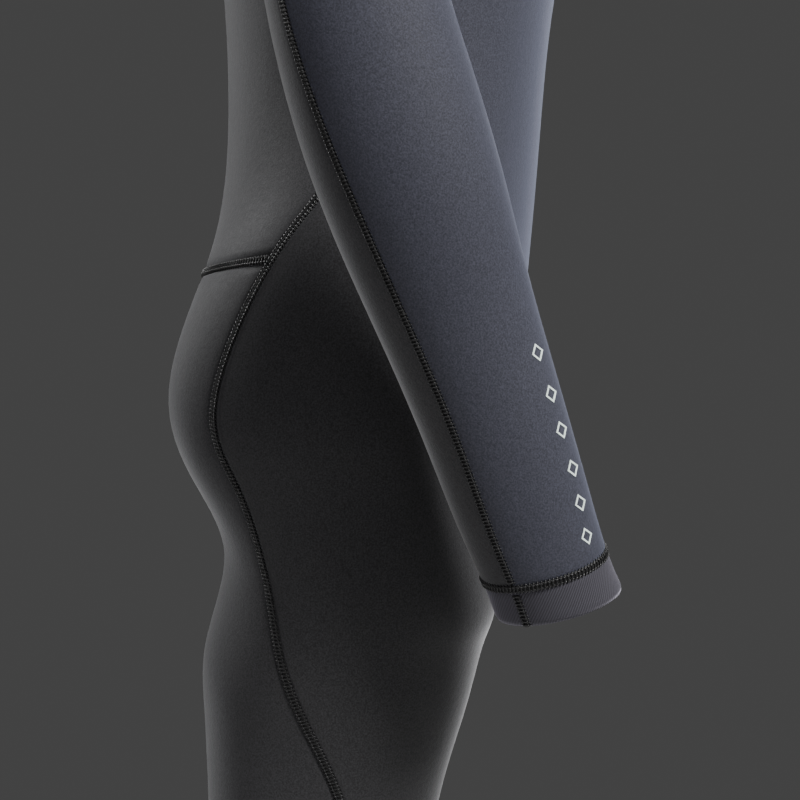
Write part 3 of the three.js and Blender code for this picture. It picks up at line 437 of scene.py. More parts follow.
def through(stations, facets):
    """The net whose smooth surface passes through the stations."""
    points = stations.copy()
    for _ in range(FIT_ROUNDS):
        points += stations - limit(points, facets)
    return points


def subdivide(points, facets, panels, paths):
    edges, of_facet, shared = edges_of(facets)
    count, inner = len(points), shared == 2
    middles = points[facets].mean(1)
    halves = points[edges].mean(1)
    beside = around(len(edges), of_facet, middles)
    new_edges = np.where(inner[:, None], (2 * halves + beside) / 4, halves)
    valence = tally(count, edges)
    mean_middle = around(count, facets, middles) / tally(count, facets)
    mean_half = around(count, edges, halves) / valence
    moved = (mean_middle + 2 * mean_half + (valence - 3) * points) / valence
    rim = edges[~inner]
    on_rim = np.unique(rim)
    moved[on_rim] = (6 * points[on_rim] + beyond(count, rim, points)[on_rim]) / 8
    centre = count + len(edges) + np.arange(len(facets))
    at_edge = count + of_facet
    quarters = [np.stack([facets[:, n], at_edge[:, n], centre, at_edge[:, n - 1]], 1) for n in range(4)]
    number = {tuple(edge): n for n, edge in enumerate(edges.tolist())}
    finer = []
    for path in paths:
        line = [path[0]]
        for a, b in zip(path, path[1:]):
            line += [count + number[min(a, b), max(a, b)], b]
        finer.append(line)
    return np.concatenate([moved, new_edges, middles]), np.concatenate(quarters), np.tile(panels, 4), finer


def seam_paths(net):
    """The points of the net along each seam, by the name of the seam."""
    torso, leg, arm = net.torso, net.leg, net.arm

    def across(row, centre, edge):
        step = 1 if edge > centre else -1
        right = [torso(row, column, -1) for column in range(edge, centre, -step)]
        return right + [torso(row, column, 1) for column in range(centre, edge + step, step)]

    tip, tail = leg(0, INSEAM_COLUMN + 1, 1), leg(0, INSEAM_COLUMN - 1, 1)
    gusset = [tail] + [leg(1, INSEAM_COLUMN + n, 1) for n in (-1, 0, 1)]
    gusset += [tip] + [leg(1, INSEAM_COLUMN + n, -1) for n in (1, 0, -1)] + [tail]
    seams = {
        "back_waist_seam": across(WAIST_BACK_ROW, BACK_COLUMN, SIDE_COLUMN),
        "front_waist_seam": across(WAIST_FRONT_ROW, 0, SIDE_COLUMN),
        "back_yoke_seam": across(ZIP_STATION, BACK_COLUMN, HOLE_BACK),
        "collar_seam": across(COLLAR_ROW, BACK_COLUMN, 0),
        "gusset_seam": gusset,
        "front_rise_seam": [tip] + [torso(row, 0, 1) for row in range(WAIST_FRONT_ROW + 1)],
        "back_rise_seam": [tail] + [torso(row, BACK_COLUMN, 1) for row in range(WAIST_BACK_ROW + 1)],
    }
    for side in (1, -1):
        hand = "left" if side > 0 else "right"

        def run(at, rows, columns):
            return [at(row, column, side) for row in rows for column in columns]

        down_leg, down_arm = range(ANKLE_ROW, 0, -1), range(WRIST_ROW + 1)
        round_leg, round_arm = range(LEG_COLUMNS + 1), range(ARM_COLUMNS + 1)
        front = [INSEAM_COLUMN, INSEAM_COLUMN + 1, *range(SIDE_COLUMN + 1)]
        back = range(SIDE_COLUMN, INSEAM_COLUMN + 1)
        flank = run(torso, range(HOLE_LOW + 1), [SIDE_COLUMN])
        seams[f"side_seam_{hand}"] = run(leg, down_leg, [SIDE_COLUMN]) + flank
        seams[f"inseam_{hand}"] = run(leg, down_leg, [INSEAM_COLUMN])
        seams[f"knee_top_seam_{hand}"] = run(leg, [KNEE_TOP_ROW], front)
        seams[f"knee_bottom_seam_{hand}"] = run(leg, [KNEE_BOTTOM_ROW], front)
        seams[f"calf_seam_{hand}"] = run(leg, [CALF_TOP_ROW], back)
        seams[f"ankle_seam_{hand}"] = run(leg, [ANKLE_ROW], round_leg)
        seams[f"wrist_seam_{hand}"] = run(arm, [WRIST_ROW], round_arm)
        seams[f"armhole_seam_{hand}"] = run(arm, [0], round_arm)
        for place, column in (("outer", OUTER_SLEEVE_COLUMN), ("inner", INNER_SLEEVE_COLUMN)):
            seams[f"sleeve_seam_{place}_{hand}"] = run(arm, down_arm, [column])
            seams[f"cuff_{place}_{hand}"] = run(arm, (WRIST_ROW, WRIST_ROW + 1), [column])
        seams[f"shoulder_seam_{hand}"] = run(torso, range(HOLE_HIGH, COLLAR_ROW + 1), [SHOULDER_COLUMN])
    return seams


class Surface:
    """The smooth outer surface, with each facet's panel, the seams' lines and the neighbours along them."""

    def __init__(self, levels):
        net = Net()
        facets = np.array(net.facets)
        names = sorted(set(net.panels))
        panels = np.array([names.index(name) for name in net.panels])
        seams = seam_paths(net)
        points = through(np.array(net.points), facets)
        paths = list(seams.values())
        for _ in range(levels):
            points, facets, panels, paths = subdivide(points, facets, panels, paths)
        self.points, self.facets = limit(points, facets), facets
        self.panels = {name: facets[panels == n] for n, name in enumerate(names)}
        self.seams = dict(zip(seams, paths))
        a, b, c, d = (self.points[facets[:, n]] for n in range(4))
        normals = around(len(self.points), facets, np.cross(c - a, d - b))
        self.normals = normals / np.linalg.norm(normals, axis=1)[:, None]
        self.square_rims()
        self.around = {}
        on_seams = {vertex for path in self.seams.values() for vertex in path}
        for edge in edges_of(self.facets)[0].tolist():
            for here, there in (edge, edge[::-1]):
                if here in on_seams:
                    self.around.setdefault(here, []).append(there)

    def square_rims(self):
        """At open cuffs the panel's edge is square to the cuff, so the rim is flat."""
        edges, _, shared = edges_of(self.facets)
        rim = np.zeros(len(self.points), bool)
        rim[edges[shared == 1].ravel()] = True
        for kind, side in (("ankle", 1), ("ankle", -1), ("wrist", 1), ("wrist", -1)):
            at, axis = cuff_end(kind, side)
            near = rim & (np.linalg.norm(self.points - at, axis=1) < RIM_REACH * MM)
            self.normals[near] -= (self.normals[near] @ axis)[:, None] * axis
            self.normals[near] /= np.linalg.norm(self.normals[near], axis=1)[:, None]


def shell(surface, facets, thickness, dip, joint):
    """A panel with thickness: its edges roll down into the seams and stand back from their neighbours."""
    used, local = np.unique(facets, return_inverse=True)
    quads = local.reshape(-1, 4)
    sides = np.concatenate([quads[:, [n, (n + 1) % 4]] for n in range(4)])
    keys = {tuple(side) for side in sides.tolist()}
    border = np.array([(a, b) for a, b in keys if (b, a) not in keys])
    points, normals = surface.points[used], surface.normals[used]
    on_border = np.zeros(len(used), bool)
    on_border[border.ravel()] = True
    middles = points[quads].mean(1)
    inward = around(len(used), quads, middles) / tally(len(used), quads) - points
    inward -= (inward * normals).sum(1)[:, None] * normals
    inward /= np.maximum(np.linalg.norm(inward, axis=1), 1e-9)[:, None]
    outer = points.copy()
    outer[on_border] += (inward * joint / 2 - normals * dip)[on_border]
    inner = points - normals * thickness
    inner[on_border] += (inward * joint / 2 + normals * dip / 2)[on_border]
    count = len(used)
    walls = np.stack([border[:, 1], border[:, 0], border[:, 0] + count, border[:, 1] + count], 1)
    return np.concatenate([outer, inner]), np.concatenate([quads, quads[:, ::-1] + count, walls])


# Threads.
class Line:
    """A seam's line: where it runs, which way is up off the cloth, and the cloth to its left and right."""

    def __init__(self, surface, path, closed):
        places = surface.points[path]
        self.closed = closed
        steps = np.linalg.norm(np.diff(places, axis=0), axis=1)
        self.at = np.concatenate([[0], np.cumsum(steps)])
        self.length = self.at[-1]
        self.places, self.up = places, surface.normals[path]
        ahead = np.gradient(places, axis=0)
        if closed:
            ahead[0] = ahead[-1] = places[1] - places[-2]
        ahead /= np.linalg.norm(ahead, axis=1)[:, None]
        self.left = np.cross(self.up, ahead)
        self.sink_left, self.sink_right = self.sag(surface, path, 1), self.sag(surface, path, -1)

    def sag(self, surface, path, hand):
        """How far the cloth falls away, per unit of reach, on one side of each point of the line."""
        falls = []
        for n, vertex in enumerate(path):
            best, fall = SIDEWAYS, 0.0
            for other in surface.around[vertex]:
                step = surface.points[other] - surface.points[vertex]
                size = np.linalg.norm(step)
                reach = hand * (step @ self.left[n]) / size
                if reach > best:
                    best, fall = reach, (step @ self.up[n]) / (reach * size)
            falls.append(fall)
        falls = np.array(falls)
        return np.convolve(np.pad(falls, 2, mode="edge"), np.ones(5) / 5, mode="valid")

    def mix(self, values, s):
        if self.closed:
            s = np.mod(s, self.length)
        return np.stack([np.interp(s, self.at, values[:, n]) for n in range(3)], -1)

    def frame(self, s):
        up, left = self.mix(self.up, s), self.mix(self.left, s)
        up /= np.linalg.norm(up, axis=-1)[..., None]
        left -= (left * up).sum(-1)[..., None] * up
        left /= np.linalg.norm(left, axis=-1)[..., None]
        return self.mix(self.places, s), up, left

    def point(self, s, reach, lift):
        """The place at s along the line, reach to its left, and lift off the cloth there."""
        place, up, left = self.frame(s)
        wrapped = np.mod(s, self.length) if self.closed else s
        fall_left = np.interp(wrapped, self.at, self.sink_left)
        fall_right = np.interp(wrapped, self.at, self.sink_right)
        fall = np.where(reach > 0, fall_left, fall_right) * np.abs(reach)
        return place + left * np.asarray(reach)[..., None] + up * (lift + fall)[..., None]


def loft(count, size, loop=False):
    """Faces of a body drawn through count rings of size places each, shut at both ends unless it loops."""
    faces = []
    for n in range(count if loop else count - 1):
        here, after = n * size, (n + 1) % count * size
        faces += [(here + k, here + (k + 1) % size, after + (k + 1) % size, after + k) for k in range(size)]
    if not loop:
        faces += [tuple(range(size - 1, -1, -1)), tuple((count - 1) * size + k for k in range(size))]
    return faces


def tube(centres, ups, radius, sides):
    """A thread along its centres."""
    ahead = np.gradient(centres, axis=0)
    ahead /= np.linalg.norm(ahead, axis=1)[:, None]
    across = np.cross(ups, ahead)
    across /= np.linalg.norm(across, axis=1)[:, None]
    over = np.cross(ahead, across)
    turn = (np.arange(sides) * 2 * math.pi / sides)[None, :, None]
    ring = across[:, None] * np.cos(turn) + over[:, None] * np.sin(turn)
    return (centres[:, None] + ring * radius).reshape(-1, 3), loft(len(centres), sides)


def beads(centres, along, across, up, length, radius):
    """Short stitches that show as a row of grains: one stretched eight-sided grain at each centre."""
    turns = [math.pi / 4 + n * math.pi / 2 for n in range(4)]
    pattern = [(-0.5, 0.0, 0.0)]
    for x in (-GRAIN_FLANK, GRAIN_FLANK):
        pattern += [(x, GRAIN_GIRTH * math.cos(turn), GRAIN_GIRTH * math.sin(turn)) for turn in turns]
    pattern = np.array(pattern + [(0.5, 0.0, 0.0)])
    grains = centres[:, None] + sum(
        way[:, None] * (pattern[:, n] * size)[None, :, None]
        for n, (way, size) in enumerate(((along, length), (across, radius), (up, radius)))
    )
    faces = [(0, 1 + (n + 1) % 4, 1 + n) for n in range(4)]
    faces += [(1 + n, 1 + (n + 1) % 4, 5 + (n + 1) % 4, 5 + n) for n in range(4)]
    faces += [(9, 5 + n, 5 + (n + 1) % 4) for n in range(4)]
    every = [tuple(v + g * len(pattern) for v in face) for g in range(len(centres)) for face in faces]
    return grains.reshape(-1, 3), every


class Heap:
    """Places and faces gathered into one mesh."""

    def __init__(self):
        self.places, self.faces, self.marks = [], [], []
        self.count = 0

    def put(self, places, faces, mark=0):
        start = self.count
        self.places.append(np.asarray(places, float))
        self.faces += [tuple(v + start for v in face) for face in faces]
        self.marks += [mark] * len(faces)
        self.count += len(places)

    def mesh(self, name, materials, smooth=True):
        mesh = bpy.data.meshes.new(name)
        mesh.from_pydata(np.concatenate(self.places).tolist(), [], self.faces)
        for material in materials:
            mesh.materials.append(material)
        mesh.polygons.foreach_set("material_index", self.marks)
        mesh.polygons.foreach_set("use_smooth", [smooth] * len(self.faces))
        mesh.update()
        item = bpy.data.objects.new(name, mesh)
        bpy.context.scene.collection.objects.link(item)
        return item


def flatlock(line, sizes, start, end, dip):
    """A flatlock seam: a low bed, looper threads across it and two rows of chain stitches along it.

    Heights are in millimetres over the panels on both sides; dip is how far the cloth rolls down
    into the seam.
    """
    heap = Heap()
    half = sizes.stitch_width / 2
    span = line.length if line.closed else line.length - start - end
    first = 0.0 if line.closed else start
    rows = max(int(span / (BED_SPAN * MM)), 2)
    s = first + np.arange(rows if line.closed else rows + 1) * span / rows
    bed = np.stack([line.point(s, np.full(len(s), a * half), np.full(len(s), h * MM)) for a, h in BED], 1)
    heap.put(bed.reshape(-1, 3), loft(len(s), len(BED), line.closed))
    # Looper threads: one over the bed at each stitch, slanted, with both ends pulled into the cloth.
    count = max(round(span / sizes.stitch_pitch), 2)
    step = span / count
    middles = first + (np.arange(count) + 0.5) * step
    edge = LOOPER_END - dip / MM * LOOPER_SINK
    reach, lift = np.array(((-1.0, edge), *LOOPER, (1.0, edge))).T
    for middle in middles:
        along = middle + reach * step * LOOPER_SLANT
        _, up, _ = line.frame(along)
        centres = line.point(along, reach * half, lift * MM)
        heap.put(*tube(centres, up, sizes.thread_radius, LOOPER_SIDES), 1)
    # Chain stitches along the seam, over the looper threads.
    _, up, left = line.frame(middles)
    ahead = np.cross(left, up)
    for hand in (1, -1):
        across = np.full(count, hand * half * CHAIN_ROW)
        centres = line.point(middles, across, np.full(count, CHAIN_LIFT * MM))
        lean = ahead + hand * left * CHAIN_LEAN
        lean /= np.linalg.norm(lean, axis=1)[:, None]
        length, radius = step * CHAIN_LENGTH, sizes.thread_radius * CHAIN_RADIUS
        heap.put(*beads(centres, lean, np.cross(up, lean), up, length, radius), 1)
    return heap


# Finishes.
def linear(hexcode):
    """An sRGB hex colour as linear RGBA."""
    parts = [int(hexcode[n : n + 2], 16) / 255 for n in (0, 2, 4)]
    return [p / 12.92 if p <= 0.04045 else ((p + 0.055) / 1.055) ** 2.4 for p in parts] + [1.0]


def fit(tree, node, inputs):
    """Each input of a node set to a value, or linked to a socket."""
    for name, value in inputs.items():
        if isinstance(value, bpy.types.NodeSocket):
            tree.links.new(value, node.inputs[name])
        else:
            node.inputs[name].default_value = value


def add(tree, kind, inputs, stops=(), **settings):
    """A node of that kind with its settings, its inputs and its colour stops (places and sRGB colours)."""
    node = tree.nodes.new(kind)
    for name, value in settings.items():
        setattr(node, name, value)
    for n, (place, hexcode) in enumerate(stops):
        node.color_ramp.elements[n].position = place
        node.color_ramp.elements[n].color = linear(hexcode)
    fit(tree, node, inputs)
    return node


def blank(name):
    """A new material, its tree, its shader and places on the piece in metres."""
    material = bpy.data.materials.new(name)
    material.use_nodes = True
    tree = material.node_tree
    where = add(tree, "ShaderNodeTexCoord", {}).outputs["Object"]
    return material, tree, tree.nodes["Principled BSDF"], where


def cloud(tree, where, scale, detail, roughness=0.5):
    """Uneven grain: scale is how many spots there are to the metre, with finer ones in each."""
    settings = {"Vector": where, "Scale": scale, "Detail": detail, "Roughness": roughness}
    return add(tree, "ShaderNodeTexNoise", settings).outputs["Fac"]


def relief(tree, height, dark, light, strength, depth):
    """Colour and bump from one pattern, whose hollows are dark and whose tops are light."""
    tone = add(tree, "ShaderNodeValToRGB", {"Fac": height}, (dark, light))
    bump = add(tree, "ShaderNodeBump", {"Height": height, "Strength": strength, "Distance": depth})
    return {"Base Color": tone.outputs["Color"], "Normal": bump.outputs["Normal"]}


# The nap of a brushed or knitted face, which lightens at grazing angles.
NAP = {"IOR": 1.45, "Specular IOR Level": 0.3, "Sheen Weight": 0.55, "Sheen Roughness": 0.42}


def neoprene(name, colour, light, sheen):
    """Neoprene foam faced with brushed nylon jersey: matt, with a short nap that lightens at grazing
    angles and a fine grain of loops. The loops are 0.4 mm across on the real cloth and are drawn at
    0.9 mm so that they show; the nap lies in 3 mm tufts, and the cloth is unevenly worn over 110 mm."""
    material, tree, shader, where = blank(name)
    loops = cloud(tree, where, 1100.0, 2.0, 0.65)
    nap = cloud(tree, where, 330.0, 3.0, 0.6)
    wear = cloud(tree, where, 9.0, 3.0)
    look = relief(tree, loops, (0.34, colour), (0.68, light), 0.5, 0.00022)
    worn = add(tree, "ShaderNodeValToRGB", {"Fac": wear}, ((0.3, "eeeef1"), (0.7, "ffffff"))).outputs["Color"]
    mixed = {0: 1.0, 6: look["Base Color"], 7: worn}
    tone = add(tree, "ShaderNodeMix", mixed, data_type="RGBA", blend_type="MULTIPLY").outputs[2]
    rough = add(tree, "ShaderNodeMapRange", {"Value": nap, "To Min": 0.62, "To Max": 0.86}).outputs["Result"]
    tufts = {"Height": nap, "Strength": 0.35, "Distance": 0.0004, "Normal": look["Normal"]}
    normal = add(tree, "ShaderNodeBump", tufts).outputs["Normal"]
    fit(tree, shader, {"Base Color": tone, "Roughness": rough, "Normal": normal})
    fit(tree, shader, {**NAP, "Sheen Tint": linear(sheen)})
    return material


def neoprene_lining(name, colour):
    """Inside face: plain grey nylon lining over the foam, fine and even, in 1.1 mm loops."""
    material, tree, shader, where = blank(name)
    look = relief(tree, cloud(tree, where, 900.0, 2.0), (0.3, colour), (0.7, "4a4b4e"), 0.4, 0.0002)
    fit(tree, shader, {**look, "Roughness": 0.9, "Sheen Weight": 0.2})
    return material


def cuff_knit(name, colour, light):
    """Knitted twill over the foam: diagonal ribs 1.1 mm apart, drawn at 1.3 mm so that they show. The
    rows of a wave are 0.314 metres apart, divided by its scale."""
    material, tree, shader, where = blank(name)
    wrapped = add(tree, "ShaderNodeUVMap", {}, uv_map="weave").outputs["UV"]
    turned = {"Vector": wrapped, "Rotation": (0, 0, math.radians(38))}
    slant = add(tree, "ShaderNodeMapping", turned).outputs["Vector"]
    rows = {"Vector": slant, "Scale": 235.0, "Distortion": 0.5, "Detail": 1.0, "Detail Scale": 400.0}
    ribs = add(tree, "ShaderNodeTexWave", rows, bands_direction="X").outputs["Fac"]
    mixed = {0: 0.35, 2: ribs, 3: cloud(tree, where, 1200.0, 2.0)}
    height = add(tree, "ShaderNodeMix", mixed, data_type="FLOAT").outputs[0]
    look = relief(tree, height, (0.2, colour), (0.8, light), 0.4, 0.00025)
    fit(tree, shader, {**look, "Roughness": 0.85, **NAP, "Sheen Tint": linear("c3c0d0")})
    return material


def thread(name, colour, light, roughness):
    """Spun polyester thread: dark, with a faint gloss on each strand and 0.7 mm lint between them."""
    material, tree, shader, where = blank(name)
    look = relief(tree, cloud(tree, where, 1500.0, 2.0), (0.35, colour), (0.7, light), 0.5, 0.0001)
    gloss = {"Roughness": roughness, "IOR": 1.5, "Sheen Weight": 0.12, "Sheen Roughness": 0.35}
    fit(tree, shader, {**look, **gloss})
    return material


def heat_pressed_print(name, colour):
    """Thin pale film pressed into the jersey: even and dull, with the cloth's grain showing through."""
    return thread(name, colour, "e6f0ec", 0.6)


def zip_tape(name):
    """Woven polyester tape: a dark herringbone of 0.5 mm threads, drawn at 1 mm."""
    material, tree, shader, where = blank(name)
    turned = {"Vector": where, "Rotation": (0, math.radians(45), 0)}
    slant = add(tree, "ShaderNodeMapping", turned).outputs["Vector"]
    rows = {"Vector": slant, "Scale": 300.0}
    weave = add(tree, "ShaderNodeTexWave", rows, bands_direction="X").outputs["Fac"]
    look = relief(tree, weave, (0.1, "0d0d0f"), (0.9, "24252a"), 0.5, 0.0002)
    fit(tree, shader, {**look, "Roughness": 0.75, "Sheen Weight": 0.2})
    return material


def moulded(name, colour, worn, roughness):
    """Moulded plastic or rubber: a faint pebbled skin of 0.7 mm, paler in 6 mm patches where it is rubbed."""
    material, tree, shader, where = blank(name)
    skin = cloud(tree, where, 1400.0, 3.0)
    rub = cloud(tree, where, 160.0, 2.0)
    tone = add(tree, "ShaderNodeValToRGB", {"Fac": rub}, ((0.35, colour), (0.75, worn))).outputs["Color"]
    span = {"Value": skin, "To Min": roughness - 0.1, "To Max": roughness + 0.1}
    rough = add(tree, "ShaderNodeMapRange", span).outputs["Result"]
    pebbles = {"Height": skin, "Strength": 0.25, "Distance": 0.0001}
    normal = add(tree, "ShaderNodeBump", pebbles).outputs["Normal"]
    fit(tree, shader, {"Base Color": tone, "Roughness": rough, "Normal": normal})
    return material


def floor_paint(name, colour):
    """Matt painted studio floor with a faint 17 mm roller texture."""
    material, tree, shader, where = blank(name)
    roller = cloud(tree, where, 60.0, 3.0)
    tone = add(tree, "ShaderNodeValToRGB", {"Fac": roller}, ((0.3, colour), (0.7, "d6d6d4"))).outputs["Color"]
    fit(tree, shader, {"Base Color": tone, "Roughness": 0.85})
    return material


# What a user may change.
class WetsuitSizes(bpy.types.PropertyGroup):
    """Sizes of the cloth and the stitching."""

    levels: IntProperty(
        name="Surface detail", description="How often the surface is divided", default=3, min=1, max=4
    )
    thickness: FloatProperty(
        name="Panel thickness", description="Thickness of the neoprene", default=0.003, unit="LENGTH"
    )
    seam_dip: FloatProperty(
        name="Seam dip", description="How far the panels roll down into a seam", default=0.0007, unit="LENGTH"
    )
    joint: FloatProperty(
        name="Joint", description="Gap between two panels' edges", default=0.0004, unit="LENGTH"
    )
    stitch_width: FloatProperty(
        name="Stitch width", description="Width of the flatlock stitching", default=0.0051, unit="LENGTH"
    )
    stitch_pitch: FloatProperty(
        name="Stitch pitch", description="From one stitch to the next", default=0.0020, unit="LENGTH"
    )
    thread_radius: FloatProperty(
        name="Thread radius", description="Radius of one thread", default=0.00036, unit="LENGTH"
    )
    clearance: FloatProperty(
        name="Seam end", description="From a seam's end to the seam it meets", default=0.0032, unit="LENGTH"
    )


class WetsuitColours(bpy.types.PropertyGroup):
    """Colours, as sRGB hex codes."""

    outer: StringProperty(name="Chest and outer sleeve", description="Darkest tone", default="27282f")
    outer_light: StringProperty(name="Its loops", description="Lightest tone", default="3d3e48")
    body: StringProperty(name="Back and legs", description="Darkest tone", default="1b1b1c")
    body_light: StringProperty(name="Their loops", description="Lightest tone", default="323234")
    cuff: StringProperty(name="Cuffs", description="Darkest tone", default="28272c")
    cuff_light: StringProperty(name="Their ribs", description="Lightest tone", default="3d3c43")
    lining: StringProperty(name="Lining", description="Inside face", default="303133")
    print: StringProperty(name="Sleeve marks", description="Printed marks", default="d3e4df")
    floor: StringProperty(name="Floor", description="Studio floor", default="cfcfcd")


built = {}


def surface():
    """The smooth surface, worked out once."""
    if "surface" not in built:
        built["surface"] = Surface(bpy.context.scene.wetsuit_sizes.levels)
    return built["surface"]


def finishes():
    """The materials, made once."""
    if "finishes" not in built:
        hue = bpy.context.scene.wetsuit_colours
        built["finishes"] = {
            "outer": neoprene("brushed nylon jersey, blue charcoal", hue.outer, hue.outer_light, "b4bbd6"),
            "body": neoprene("brushed nylon jersey, charcoal", hue.body, hue.body_light, "c2c3c6"),
            "lining": neoprene_lining("nylon lining", hue.lining),
            "cuff": cuff_knit("knitted twill", hue.cuff, hue.cuff_light),
            "thread": thread("spun polyester thread", "050506", "17181a", 0.42),
            "bed": thread("flatlock looper thread", "030303", "0a0a0b", 0.85),
            "tape": zip_tape("woven polyester tape"),
            "plastic": moulded("moulded acetal", "141518", "2c2e33", 0.38),
            "rubber": moulded("moulded rubber", "1b1d21", "33363c", 0.6),
            "print": heat_pressed_print("heat-pressed print", hue.print),
            "floor": floor_paint("matt floor paint", hue.floor),
        }
    return built["finishes"]


def cloth_of(panel):
    if "cuff" in panel:
        return "cuff"
    return "outer" if panel in ("front_body", "front_yoke") or "sleeve_outer" in panel else "body"


def weave_map(item, panel):
    """Round-and-along coordinates on a cuff, in metres, for its ribs."""
    kind, radius = ("wrist", WRIST_RADIUS) if "wrist" in panel else ("ankle", ANKLE_RADIUS)
    at, axis = map(Vector, cuff_end(kind, 1 if panel.endswith("left") else -1))
    across = Vector((1, 0, 0)) - axis * axis.x
    across.normalize()
    back = axis.cross(across)
    layer = item.data.uv_layers.new(name="weave")
    places = []
    for polygon in item.data.polygons:
        first = None
        for vertex in polygon.vertices:
            step = item.data.vertices[vertex].co - at
            turn = math.atan2(step.dot(back), step.dot(across))
            if first is None:
                first = turn
            turn += round((first - turn) / (2 * math.pi)) * 2 * math.pi
            places += [turn * radius * MM, step.dot(axis)]
    layer.data.foreach_set("uv", places)


# Operators.
class WETSUIT_OT_stage(bpy.types.Operator):
    """Camera at the wearer's right hip, a high key light before that side, rim lights behind, the floor"""

    bl_idname = "wetsuit.stage"
    bl_label = "Stage"

    def execute(self, context):
        scene = context.scene
        camera = bpy.data.objects.new("camera", bpy.data.cameras.new("camera"))
        scene.collection.objects.link(camera)
        scene.camera = camera
        camera.data.lens, camera.data.sensor_width, camera.data.clip_start = LENS, FILM, CLIP
        target = Vector((0, -NECK_Y, CAMERA_HEIGHT - NECK_Z)) * MM
        rise = math.radians(CAMERA_RISE)
        camera.location = target + Vector((-math.cos(rise), 0, math.sin(rise))) * CAMERA_REACH
        camera.rotation_euler = (target - camera.location).to_track_quat("-Z", "Y").to_euler()

        world = bpy.data.worlds.new("studio grey")
        scene.world = world
        world.use_nodes = True
        world.node_tree.nodes["Background"].inputs["Color"].default_value = linear("474747")

        for name, place, width, height, power, colour in LIGHTS:
            lamp = bpy.data.lights.new(name, "AREA")
            lamp.shape, lamp.size, lamp.size_y = "RECTANGLE", width, height
            lamp.energy, lamp.color = power, colour
            item = bpy.data.objects.new(name, lamp)
            item.location = place
            item.visible_camera = False
            item.rotation_euler = (Vector(LIT) - item.location).to_track_quat("-Z", "Y").to_euler()
            scene.collection.objects.link(item)

        level = CAD_BOX[0].z - FLOOR_GAP
        turns = np.linspace(0, 2 * math.pi, FLOOR_SIDES, endpoint=False)
        heap = Heap()
        rims = [(r * math.cos(t), r * math.sin(t), level - depth) for r, depth in FLOOR for t in turns]
        heap.put(rims, loft(len(FLOOR), FLOOR_SIDES))
        floor = heap.mesh("floor", [finishes()["floor"]], smooth=False)
        return {"FINISHED"}


class WETSUIT_OT_panels(bpy.types.Operator):
    """Neoprene panels, each a shell with its edges rolled into the seams"""

    bl_idname = "wetsuit.panels"
    bl_label = "Panels"

    def execute(self, context):
        sizes, body = context.scene.wetsuit_sizes, surface()
        for panel, facets in body.panels.items():
            places, faces = shell(body, facets, sizes.thickness, sizes.seam_dip, sizes.joint)
            cloth = cloth_of(panel)
            mesh = bpy.data.meshes.new(panel + "_cloth")
            mesh.from_pydata(places.tolist(), [], faces.tolist())
            mesh.materials.append(finishes()[cloth])
            mesh.materials.append(finishes()["lining"])
            marks = np.zeros(len(faces), int)
            marks[len(facets) : 2 * len(facets)] = 1
            mesh.polygons.foreach_set("material_index", marks)
            mesh.polygons.foreach_set("use_smooth", [True] * len(faces))
            mesh.update()
            item = bpy.data.objects.new(panel + "_cloth", mesh)
            context.scene.collection.objects.link(item)
            if cloth == "cuff":
                weave_map(item, panel)
            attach(item, "suit")
            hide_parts(panel)
        return {"FINISHED"}


class WETSUIT_OT_seams(bpy.types.Operator):
    """Flatlock stitching along every seam"""

    bl_idname = "wetsuit.seams"
    bl_label = "Seams"

    def execute(self, context):
        sizes, body = context.scene.wetsuit_sizes, surface()
        looks = [finishes()["bed"], finishes()["thread"]]
        for name, path in body.seams.items():
            line = Line(body, path, path[0] == path[-1])
            end = 0.0 if name.startswith("cuff_") else sizes.clearance
            dip = 0.0 if name.startswith("cuff_") else sizes.seam_dip
            heap = flatlock(line, sizes, sizes.clearance, end, dip)
            item = heap.mesh(name + "_stitches", looks)
            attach(item, "suit")
            if name in NODES:
                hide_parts(name)
        return {"FINISHED"}


def zip_place(angle, up, lift):
    """A place on the zip: angle round its arc, distance up the chest, and lift off it, in metres."""
    lean = math.atan(ZIP_SLOPE)
    reach = ZIP_ARC_RADIUS * MM - up * math.sin(lean) + lift * math.cos(lean)
    centre_y = (TORSO[ZIP_STATION][1] + ZIP_ARC_RADIUS - NECK_Y) * MM
    centre_z = (TORSO[ZIP_STATION][5][0] - NECK_Z) * MM
    height = centre_z + up * math.cos(lean) + lift * math.sin(lean)
    return Vector((reach * math.sin(angle), centre_y - reach * math.cos(angle), height))


